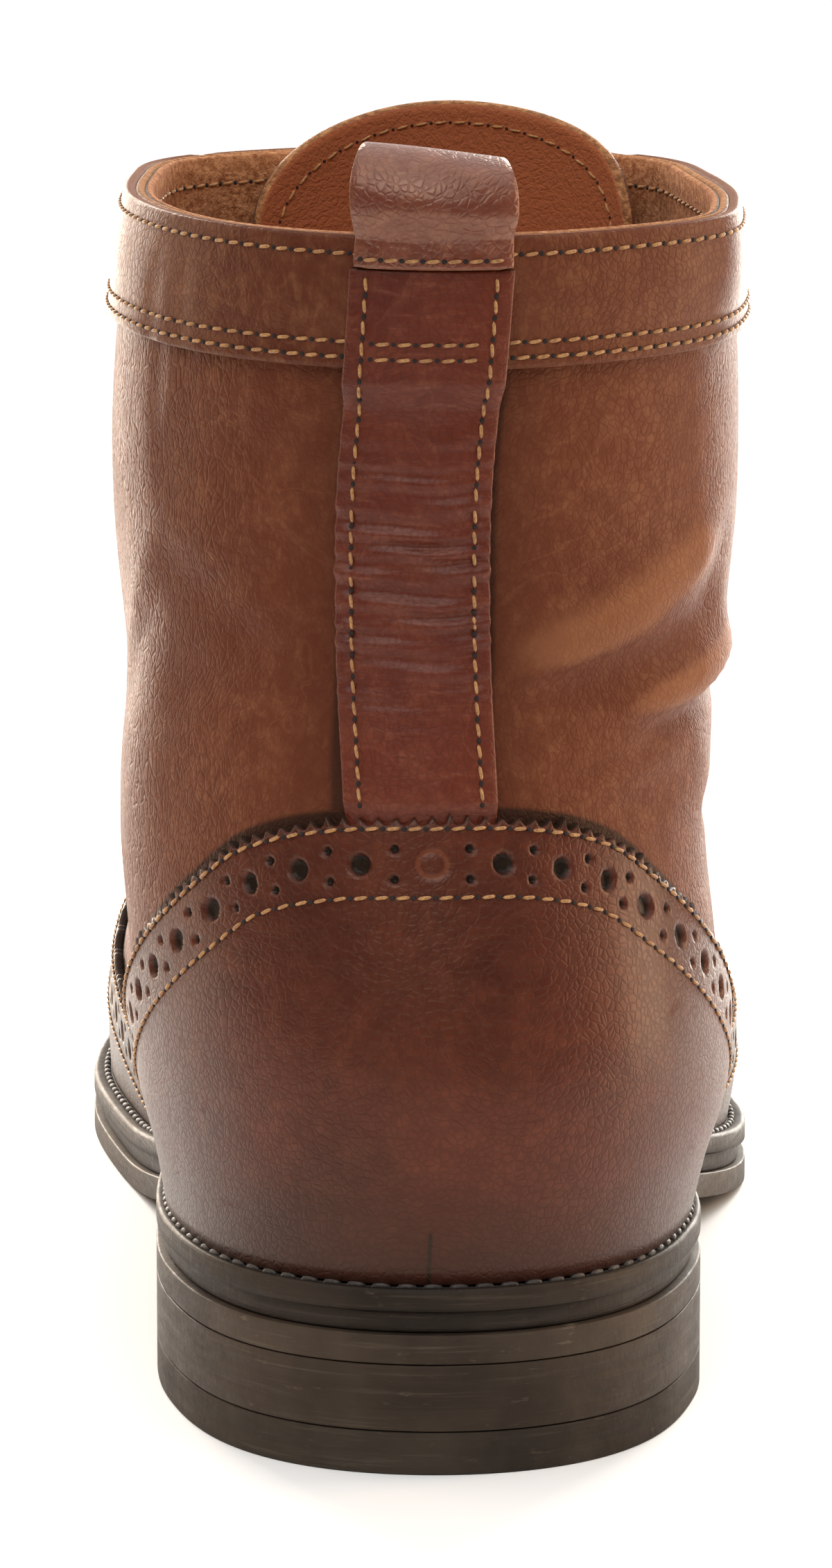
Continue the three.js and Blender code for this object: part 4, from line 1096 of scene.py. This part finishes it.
# Collar band round the top, with one row near its edge and two at its foot, and a row inside on the
# lining
band = {"depth": 15.0, "face": 1.5, "back": 0.05, "swell": 0.35, "bulge": 0.3, "columns": 300, "rows": 20,
        "crowd": 0.3, "stitchRows": (1.9, 12.1, 13.9), "endLevel": 0.88, "endGap": 0.012,
        "liningRow": 3.4, "liningReach": 0.3, "liningSamples": 260}


# Extra thickness in the band's middle: a sine from the collar to the first of its lower rows
def bandSwell(depth):
    return band["swell"] * np.sin(math.pi * np.clip(depth / band["stitchRows"][1], 0, 1))


def buildBand():
    endLevel = np.array([band["endLevel"]])
    end = math.pi - frontAngle(throatGap(endLevel) + facing["width"], endLevel)[0] - band["endGap"]
    a = np.linspace(-1, 1, band["columns"])
    angle = end * (a - band["crowd"] * np.sin(math.pi * a) / math.pi)
    share = np.linspace(1, 0, band["rows"])
    depths = band["depth"] * (0.6 * ease(share) + 0.4 * share)
    level = np.stack([levelBelowCollar(angle, d) for d in depths])
    grid = np.repeat(angle[None], band["rows"], 0)
    outer = leatherPoint(grid, level, band["face"] + bandSwell(depths)[:, None])
    inner = leatherPoint(grid, level, band["back"])
    makePiece("band_leather", sheetPatches(outer, inner, band["bulge"]), finishes["band"],
              ["collar_band"])
    rows = []
    for depth in band["stitchRows"]:
        rowLevel = levelBelowCollar(angle, depth)
        lift = band["face"] + bandSwell(depth)
        rows.append((leatherPoint(angle, rowLevel, lift), outward(angle, rowLevel)))
    sewRows("band_stitches", rows, fineStitch)
    inside = np.linspace(-end - band["liningReach"], end + band["liningReach"], band["liningSamples"])
    insideLevel = levelBelowCollar(inside, band["liningRow"])
    line = leatherPoint(inside, insideLevel, upper["liningBack"])
    sewRows("lining_stitches", [(line, -outward(inside, insideLevel))], fineStitch)


buildBand()
print("collar band ready")


# Cross wrinkles: a wandering sine along the level, strongest in the middle of their stretch
def stripWrinkles(x, level):
    middle = (strip["wrinkleFrom"] + strip["wrinkleTo"]) / 2
    span = (strip["wrinkleTo"] - strip["wrinkleFrom"]) / 2
    strength = np.exp(-((level - middle) / span) ** 2 * 1.6)
    height = level * foldScale["up"]
    wander = 0.9 * np.sin(height * 0.7) + 0.25 * np.sin(x * 0.6) - 0.02 * x * x
    patch = 0.6 + 0.4 * np.sin(height * 0.9 + x * 0.35)
    wave = np.sin(height * 2 * math.pi / strip["wrinklePitch"] + wander)
    return strip["wrinkleDepth"] * strength * patch * wave


# Distance of the strip off the skin: a step up over the band's foot and one down under the counter
def stripLift(level, bandFoot):
    over = ease((level - bandFoot + 0.035) / 0.025)
    under = 1 - ease((level - counter["edgeLevels"][0] + 0.012) / 0.022)
    return strip["lift"] + strip["liftOver"] * over - strip["liftUnder"] * under


def buildStrip():
    zero = np.zeros(1)
    bandFoot = levelBelowCollar(zero, band["depth"])[0]
    top = levelBelowCollar(zero, strip["top"])[0]
    foot = counter["edgeLevels"][0]
    levels = np.linspace(foot - strip["tucked"], top, strip["rows"])
    across = np.linspace(-1, 1, strip["columns"])
    x = strip["halfWidth"] * (0.5 * across + 0.5 * np.sin(across * math.pi / 2))
    level = np.repeat(levels[:, None], len(x), 1)
    grid = np.repeat(x[None], len(levels), 0)
    angle = backAngle(stripX(level) + grid, level)
    lift = stripLift(level, bandFoot)
    inset = strip["halfWidth"] - strip["stitchInset"]
    edge = strip["edgeDip"] * np.exp(-(strip["halfWidth"] - abs(grid)) / strip["dipWidth"])
    groove = strip["rowDip"] * np.exp(-((inset - abs(grid)) / strip["dipWidth"]) ** 2)
    face = lift + strip["thickness"] + stripWrinkles(grid, level) - edge - groove
    patches = sheetPatches(leatherPoint(angle, level, face), leatherPoint(angle, level, lift - 0.2), 0.1)
    makePiece("strip_leather", patches, finishes["strip"], ["back_strip"])
    rows = []
    short = np.linspace(-1, 1, strip["crossSamples"]) * (inset - 1)
    for depth in band["stitchRows"][1:]:         # the band's double row runs on over the strip
        line = backAngle(stripX(np.ones(1)) + short, np.ones(len(short)))
        crossing = levelBelowCollar(line, depth)
        line = backAngle(stripX(crossing) + short, crossing)
        raised = stripLift(crossing, bandFoot) + strip["thickness"] - 0.05
        rows.append((leatherPoint(line, crossing, raised), outward(line, crossing)))
    sewn = levels[(levels > foot + 0.004) & (levels < top)]
    for side in (-1, 1):
        line = backAngle(stripX(sewn) + side * inset, sewn)
        raised = stripLift(sewn, bandFoot) + strip["thickness"] - 0.1
        rows.append((leatherPoint(line, sewn, raised), outward(line, sewn)))
    sewRows("strip_stitches", rows, fineStitch)


buildStrip()
print("back strip ready")


# Pull loop: a strap sewn outside the collar, over it in a round arch and down inside
loop = {
    "halfWidth": 8.1, "thickness": 1.6, "rise": 10.0, "spread": 8.4, "tail": 3.2, "insideTail": 9.0,
    "outside": 1.85, "inside": -2.55, "tilt": 0.1, "tiltOver": 8.0, "columns": 26, "upRows": 26,
    "archRows": 30, "downRows": 34, "crown": 0.25, "ripple": 0.06, "bulge": 0.25, "stitchRow": 3,
}


def buildLoop():
    middle = (loop["outside"] + loop["inside"]) / 2
    half = (loop["outside"] - loop["inside"]) / 2
    wide = loop["spread"] / 2
    archRise = loop["rise"] - wide - loop["thickness"]

    def leg(rises):                              # half width opens smoothly from the collar to the arch
        return half + (wide - half) * ease(rises / archRise)

    up = np.linspace(-loop["tail"], archRise, loop["upRows"])[:-1]
    down = np.linspace(archRise, -loop["insideTail"], loop["downRows"])[1:]
    turn = np.linspace(0, math.pi, loop["archRows"])
    distance = np.concatenate([middle + leg(up), middle + wide * np.cos(turn), middle - leg(down)])
    rise = np.concatenate([up, archRise + wide * np.sin(turn), down])
    line = np.stack([distance, rise], -1)
    tangent = unit(np.gradient(line, axis=0))
    normal = np.stack([tangent[:, 1], -tangent[:, 0]], -1)
    across = np.linspace(-1, 1, loop["columns"])
    x = loop["halfWidth"] * across

    def face(extra):                             # the strap's middle line moved out, for every column
        d, r = np.split(line + normal * extra, 2, -1)
        angle = np.repeat(backAngle(stripX(np.ones(1)) + x, np.ones(len(x)))[None], len(r), 0)
        level = np.stack([levelBelowCollar(angle[0], max(0.0, -value)) for value in r[:, 0]])
        points = leatherPoint(angle, level, d)
        points[..., 2] += np.maximum(0, r) - loop["tilt"] * x * ease(r / loop["tiltOver"])
        return points

    ripple = loop["ripple"] * np.sin(line[:, 1:] * 1.9 + across * 2)
    inner, outer = face(0.0), face(loop["thickness"])
    direction = unit(outer - inner)
    outer = outer + direction * (loop["crown"] * (1 - across ** 2) + ripple)[..., None]
    makePiece("loop_leather", sheetPatches(outer, inner, loop["bulge"]), finishes["loop"],
              ["pull_loop"])
    row = loop["stitchRow"]
    sewRows("loop_stitches", [(outer[row][1:-1], direction[row][1:-1])], fineStitch)


buildLoop()
print("pull loop ready")


# Tongue: starts under the vamp, drops below the lace and ends in an arch above the collar
tongue = {
    "halfLow": 20.0, "halfHigh": 31.0, "shoulder": 9.25, "arch": 17.5, "lean": 6.0, "drop": 3.4,
    "foot": 0.50, "seat": 2.5, "thickness": 1.8, "rows": 90, "columns": 60, "inset": 2.6, "bulge": 0.25,
    "dropFrom": 0.02, "dropOver": 0.06, "widenBy": 1.15, "probe": 0.05, "sewnFrom": 0.62,
    "legSamples": 50, "arcSamples": 120,
}


def tongueDepth(level):                          # how far behind the skin it lies
    start = upper["throatFoot"] - tongue["dropFrom"]
    return tongue["seat"] + tongue["drop"] * ease((level - start) / tongue["dropOver"])


# Point of the tongue at a share up and across, a distance behind its face; inset shrinks its outline
def tonguePoint(up, across, extra, inset=0.0):
    toe = np.full(1, math.pi)
    perLevel = (skin(toe, np.ones(1)) - skin(toe, np.full(1, 1 - tongue["probe"])))[0, 2] / tongue["probe"]
    shoulder = levelBelowCollar(toe, tongue["shoulder"])[0] - inset / perLevel
    top = shoulder + tongue["arch"] * np.sqrt(np.maximum(0, 1 - across ** 2)) / perLevel
    level = lerp(tongue["foot"], top, up)
    share = np.clip((level - tongue["foot"]) / (1 - tongue["foot"]), 0, 1)
    half = lerp(tongue["halfLow"], tongue["halfHigh"], ease(share * tongue["widenBy"])) - inset
    offset = half * across + tongue["lean"] * ease(share)
    turn = frontAngle(abs(offset), level) * np.sign(offset)
    return shell(math.pi - turn, level, -tongueDepth(level) - extra)


def buildTongue():
    rows, columns, inset = tongue["rows"], tongue["columns"], tongue["inset"]
    across = np.repeat(np.sin(np.linspace(-1, 1, columns) * math.pi / 2)[None], rows, 0)
    up = np.repeat(np.linspace(0, 1, rows)[:, None], columns, 1)
    outer = tonguePoint(up, across, 0.0)
    inner = tonguePoint(up, across, tongue["thickness"])
    makePiece("tongue_leather", sheetPatches(outer, inner, tongue["bulge"]), finishes["tongue"],
              ["tongue"])
    legs = np.linspace(tongue["sewnFrom"], 1, tongue["legSamples"])
    side = np.ones(len(legs))
    arc = np.sin(np.linspace(-1, 1, tongue["arcSamples"]) * math.pi / 2)
    ups = np.concatenate([legs, np.ones(len(arc)), legs[::-1]])
    sides = np.concatenate([-side, arc, side])
    inside = tonguePoint(ups, sides, tongue["thickness"] + 0.02, inset)
    outside = tonguePoint(ups, sides, 0.0, inset)
    normals = unit(inside - outside)
    sewRows("tongue_stitches", [(inside, normals), (outside, -normals)], tongueStitch)


buildTongue()
print("tongue ready")


# Eyelets and lace
lacing = {
    "pairs": 7, "firstLevel": 0.615, "lastLevel": 0.945, "inset": 9.0, "bore": 1.5, "flange": 3.3,
    "seat": 1.52, "barrel": 0.25, "barrelDepth": -2.2, "roll": 0.75, "rimInset": 0.2, "rimDrop": 0.05,
    "rollSteps": 9, "turnSteps": 29, "laceRadius": 1.1, "laceSides": 10, "cross": 0.85, "steps": 46,
    "low": -1.6, "highGap": 0.75, "rise": 0.32, "easing": 0.3, "dip": 0.8,
}
eyeletLevels = np.linspace(lacing["firstLevel"], lacing["lastLevel"], lacing["pairs"])
eyeletTurns = frontAngle(throatGap(eyeletLevels) + lacing["inset"], eyeletLevels)


# Eyelet: a rolled brass ring, a circle section turned about the hole's axis, with its barrel
def buildEyelets():
    bend = np.linspace(0, math.pi, lacing["rollSteps"])
    bore, flange, seat = lacing["bore"], lacing["flange"], lacing["seat"]
    outside, under, deep = bore + lacing["barrel"], seat - lacing["rimDrop"], lacing["barrelDepth"]
    roll = (bore + flange) / 2 - (flange - bore) / 2 * np.cos(bend)
    radius = np.concatenate([[outside, bore], roll, [flange - lacing["rimInset"], outside, outside]])
    height = np.concatenate([[deep, deep], seat + lacing["roll"] * np.sin(bend), [under, under, deep]])
    turn = np.linspace(0, 2 * math.pi, lacing["turnSteps"])
    patches, names = [], []
    for side, word in ((1, "lateral"), (-1, "medial")):
        for k, (level, back) in enumerate(zip(eyeletLevels, eyeletTurns)):
            angle = np.array([side * (math.pi - back)])
            centre = skin(angle, np.array([level]))[0]
            out = outward(angle, np.array([level]))[0]
            first = unit(np.cross(out, [0, 0, 1]))
            second = np.cross(out, first)
            ring = np.cos(turn)[None, :, None] * first + np.sin(turn)[None, :, None] * second
            patches.append((centre + radius[:, None, None] * ring + height[:, None, None] * out, None))
            names.append(f"eyelet_{word}_{k + 1}")
    makePiece("eyelets", patches, finishes["brass"], names)


# Lace arm: from inside one eyelet, over the gap and into the next; at a crossing one goes over
def laceArm(startAngle, startLevel, endAngle, endLevel, over):
    share = np.linspace(0, 1, lacing["steps"])
    angle = lerp(startAngle, endAngle, lerp(share, ease(share), lacing["easing"]))
    level = lerp(startLevel, endLevel, share)
    wave = np.sin(math.pi * share)
    high = facing["face"] + lacing["laceRadius"] + lacing["highGap"]
    lift = lerp(lacing["low"], high, wave ** lacing["rise"]) + over * wave ** 2
    path = shell(angle, level, lift)
    for end, beside in ((0, 1), (-1, -2)):       # both ends dip straight into their eyelets
        path[end] = path[beside] - outward(angle[[end]], level[[end]])[0] * lacing["dip"]
    side = np.tile([0.0, 0.0, 1.0], (len(path), 1))
    return tubePatches(path, side, lacing["laceRadius"], lacing["laceSides"])


def buildLace():
    patches = laceArm(math.pi - eyeletTurns[0], eyeletLevels[0], math.pi + eyeletTurns[0], eyeletLevels[0],
                      0.0)
    for k in range(lacing["pairs"] - 1):
        for side, over in ((1, lacing["cross"]), (-1, -lacing["cross"])):
            patches += laceArm(math.pi - side * eyeletTurns[k], eyeletLevels[k],
                               math.pi + side * eyeletTurns[k + 1], eyeletLevels[k + 1], over)
    names = ["lace_bar"] + [f"lace_crossing_{k + 1}" for k in range(lacing["pairs"] - 1)]
    makePiece("lace", patches, finishes["lace"], names)


buildEyelets()
buildLace()
print("eyelets and lace ready")


# Sole layers
sole = {"rows": 150, "across": 14, "samples": 4001, "marginFrom": 0.6, "midsoleInset": 1.0,
        "insoleInset": 2.9, "frontInset": 0.6, "grooveHalf": 0.03}


def marginAt(y):                                 # the sole stands out further in front than behind
    start = sole["marginFrom"] * last["heelLength"]
    return lerp(last["heelMargin"], last["forefootMargin"], ease((y - start) / (last["flatFrom"] - start)))


# Sole's edge at a turn: the foot of the upper moved out level by a reach
def edgePoint(turn, reachAt):
    level = np.zeros_like(turn)
    foot = skin(turn, level)
    return foot + outward(turn, level) * reachAt(foot[..., 1])[..., None]


# Outline of a layer as two rows of points with the same places along the boot, right and left
def outlineSides(reachAt, endY=None):
    fine = np.linspace(0, 2 * math.pi, sole["samples"])
    ring = edgePoint(fine, reachAt)
    tip = int(np.argmax(ring[:, 1]))
    backY, tipY = ring[0, 1], ring[tip, 1]
    frontY = tipY if endY is None else endY
    turnEnd = math.pi if endY is None else math.pi / 2
    turns = np.linspace(0, turnEnd, sole["rows"])
    y = backY + (frontY - backY) * (1 - np.cos(turns)) / (1 - math.cos(turnEnd))
    rightX = np.interp(y, ring[:tip + 1, 1], ring[:tip + 1, 0])
    leftX = np.interp(y, ring[tip:, 1][::-1], ring[tip:, 0][::-1])
    if endY is None:
        leftX[-1] = rightX[-1]
    leftX[0] = rightX[0]
    return y, rightX, leftX


# Slab of the sole: a profile of insets and height shares carried round the outline, closed above and
# below by rows across the boot
def soleLayer(name, reachAt, bottom, top, profile, finish, node, endY=None):
    rings, grids = [], []
    for inset, share in profile:
        def moved(y, inset=inset):
            return reachAt(y) - inset
        y, rightX, leftX = outlineSides(moved, None if endY is None else endY - inset * sole["frontInset"])
        shares = np.linspace(0, 1, sole["across"])[None, :]
        grid = np.empty((len(y), sole["across"], 3))
        grid[..., 0] = lerp(leftX[:, None], rightX[:, None], shares)
        grid[..., 1] = y[:, None]
        grid[..., 2] = lerp(bottom(y), top(y), share)[:, None]
        grids.append(grid)
        loopPoints = [grid[:, -1], grid[-1, ::-1][1:], grid[::-1, 0][1:]]
        rings.append(np.vstack(loopPoints))
    patches = [(grids[0], None), (grids[-1], None), (np.array(rings), None)]
    makePiece(name, patches, finishes[finish], [node])


# Profile of a layer: a quarter circle at its foot and its top, and shallow grooves between them
def roundedProfile(radius, thickness, steps, grooves=(), depth=0.0):
    turn = np.linspace(0, math.pi / 2, steps)
    lower = [(radius * (1 - math.sin(t)), radius * (1 - math.cos(t)) / thickness) for t in turn]
    upperPart = [(inset, 1 - share) for inset, share in lower[::-1]]
    middle = []
    for groove in grooves:
        middle += [(0.0, groove - sole["grooveHalf"]), (depth, groove), (0.0, groove + sole["grooveHalf"])]
    return lower + middle + upperPart


def aboveSole(distance):                         # a height that follows the sole's underside
    return lambda y: soleBottom(y) + distance


def always(value):                               # the same value all along the boot
    return lambda y: value + 0 * y


heelEnd = last["heelLength"]
weltBottom, feather = aboveSole(weltLift), aboveSole(soleThickness)
soleLayer("outsole_leather", marginAt, soleBottom, aboveSole(outsoleThickness),
          roundedProfile(0.25, 3.6, 5), "outsole", "outsole")
soleLayer("midsole_leather", lambda y: marginAt(y) - sole["midsoleInset"], aboveSole(midsoleLift - 0.25),
          aboveSole(weltLift - clearance + 0.25), roundedProfile(0.3, 2.3, 3), "midsole",
          "midsole")
soleLayer("heel_stack_leather", marginAt, always(topPieceTop + 0.5 * clearance),
          aboveSole(-0.4 * clearance), roundedProfile(0.15, 7.7, 4, (0.33, 0.66), 0.08), "stack",
          "heel_stack", heelEnd)
soleLayer("heel_top_piece_rubber", marginAt, always(0), always(topPieceTop),
          roundedProfile(0.25, 5.2, 5, (0.45,), 0.05), "rubber", "heel_top_piece", heelEnd)
soleLayer("insole_leather", always(-sole["insoleInset"]), weltBottom, aboveSole(insoleLift),
          roundedProfile(0.5, 3.6, 3), "insole", "insole")


# Welt: a rounded strip carried all round the upper, with a shallow channel for its stitches. Its
# profile is shares out to the sole's edge and up from the midsole.
welt = {
    "profile": [(1.0, 0.0), (1.0, 0.25), (1.0, 0.8), (0.93, 0.97), (0.84, 1.0), (0.62, 0.96), (0.5, 0.88),
                (0.38, 0.96), (0.1, 1.0), (0.0, 1.0), (0.0, 0.0), (1.0, 0.0)],
    "inner": -2.2, "innerShare": 0.3, "samples": 460, "rowShare": 0.5, "rowHeight": 0.95,
}


def buildWelt():
    turn = np.linspace(0, 2 * math.pi, welt["samples"])
    foot = skin(turn, np.zeros_like(turn))
    away = outward(turn, np.zeros_like(turn))
    reach = marginAt(foot[:, 1])

    def moved(distance, height):                 # the foot of the upper moved out, at a share up
        points = foot + away * np.broadcast_to(distance, reach.shape)[:, None]
        points[:, 2] = lerp(weltBottom(points[:, 1]), feather(points[:, 1]), height)
        return points

    grid = [moved(lerp(welt["inner"] if share < welt["innerShare"] else 0.0, reach, share), height)
            for share, height in welt["profile"]]
    makePiece("welt_leather", [(np.array(grid), None)], finishes["welt"], ["welt"])
    line = moved(welt["rowShare"] * reach, welt["rowHeight"])
    sewRows("welt_stitches", [(line, np.tile([0.0, 0.0, 1.0], (len(line), 1)))], weltStitch)


buildWelt()
print("sole ready")


# Floor, light and camera
studio = {
    "white": 1.1, "dim": 0.14, "above": 1.5, "whiteFrom": 0.72, "whiteTo": 0.97, "aboveFrom": 0.35,
    "aboveTo": 0.95, "floor": srgb(240, 240, 239), "floorLight": srgb(244, 244, 243),
    "floorFrom": 0.3, "floorTo": 0.6, "floorSide": 4, "floorEnd": 6,
    "cameraBack": 600.0, "cameraSide": -3.3, "cameraHeight": 166.0, "yaw": 2.6, "pitch": 7.83,
    "filmWidth": 36, "focal": 7461 / 2261 * 36, "aim": (0, -0.05, 0.08),
}
# Area lights: place and size in metres, power in watts, colour
lamps = {
    "softKey": ((-0.35, -1.5, 1.25), (1.3, 1.0), 11.8, (1.0, 1.0, 1.0)),
    "leftRim": ((-0.36, 0.9, 0.25), (0.3, 1.0), 18.0, (1.0, 0.86, 0.72)),
    "rightRim": ((0.42, 0.86, 0.25), (0.35, 1.0), 18.0, (1.0, 0.95, 0.86)),
    "leftPanel": ((-1.0, 0.5, 0.3), (0.6, 1.0), 4.92, (1.0, 0.72, 0.48)),
    "rightPanel": ((1.0, 0.14, 0.25), (0.4, 0.9), 8.2, (1.0, 0.72, 0.48)),
}


def buildFloor():                                # it fades out before its edge shows
    f = Finish("paleFloor")
    x, y, _ = f.parts(f.place())
    away = (x * x + y * y) ** 0.5
    material = f.close({"Base Color": f.mix(f.noise(6, 3, 0.5), studio["floor"], studio["floorLight"]),
                        "Roughness": 0.75, "Specular IOR Level": 0.2,
                        "Alpha": f.between(away, studio["floorFrom"], studio["floorTo"], 1.0, 0.0)})
    mesh = bpy.data.meshes.new("floor")
    side, end = studio["floorSide"], studio["floorEnd"]
    mesh.from_pydata([(-side, -side, 0), (side, -side, 0), (side, end, 0), (-side, end, 0)], [],
                     [(0, 1, 2, 3)])
    mesh.materials.append(material)
    floor = bpy.data.objects.new("floor", mesh)
    bpy.context.scene.collection.objects.link(floor)


def addLight(name, place, size, power, colour):
    light = bpy.data.lights.new(name, "AREA")
    light.shape = "RECTANGLE"
    light.size, light.size_y = size
    light.energy = power
    light.color = colour
    lamp = bpy.data.objects.new(name, light)
    lamp.location = place
    lamp.rotation_euler = (Vector(studio["aim"]) - Vector(place)).to_track_quat("-Z", "Y").to_euler()
    bpy.context.scene.collection.objects.link(lamp)


# World: white straight ahead and overhead, dim elsewhere, and plain white where the camera sees it
def buildWorld():
    world = bpy.data.worlds.new("studioWhite")
    f = Finish(world)
    _, y, z = f.parts(f.add("TexCoord", output="Generated"))
    behind = f.between(y, studio["whiteFrom"], studio["whiteTo"], studio["dim"], studio["white"])
    above = f.between(z, studio["aboveFrom"], studio["aboveTo"], 0.0, studio["above"])
    seen = f.add("LightPath", output="Is Camera Ray")
    around = behind + above
    strength = seen * (studio["white"] - around) + around
    backdrop = f.add("Background", None, {"Color": (1, 1, 1, 1), "Strength": strength})
    f.add("OutputWorld", None, {"Surface": backdrop})
    bpy.context.scene.world = world


def buildCamera():
    yaw, pitch = math.radians(studio["yaw"]), math.radians(studio["pitch"])
    forward = np.array([math.sin(yaw), math.cos(yaw), 0])
    right = np.array([math.cos(yaw), -math.sin(yaw), 0])
    place = studio["cameraSide"] * right - studio["cameraBack"] * forward
    place = place + np.array([0, 0, studio["cameraHeight"]])
    camera = bpy.data.objects.new("camera", bpy.data.cameras.new("camera"))
    camera.data.lens = studio["focal"]
    camera.data.sensor_width = studio["filmWidth"]
    camera.location = (place + rowShift) * mm
    look = forward * math.cos(pitch) - np.array([0, 0, 1]) * math.sin(pitch)
    camera.rotation_euler = Vector(look).to_track_quat("-Z", "Y").to_euler()
    bpy.context.scene.collection.objects.link(camera)
    bpy.context.scene.camera = camera


buildFloor()
buildWorld()
for lampName, lampLook in lamps.items():
    addLight(lampName, *lampLook)
buildCamera()
bpy.context.scene.view_settings.view_transform = "Standard"
print("triangles", sum(triangleCount.values()), "most in one piece", max(triangleCount.values()))
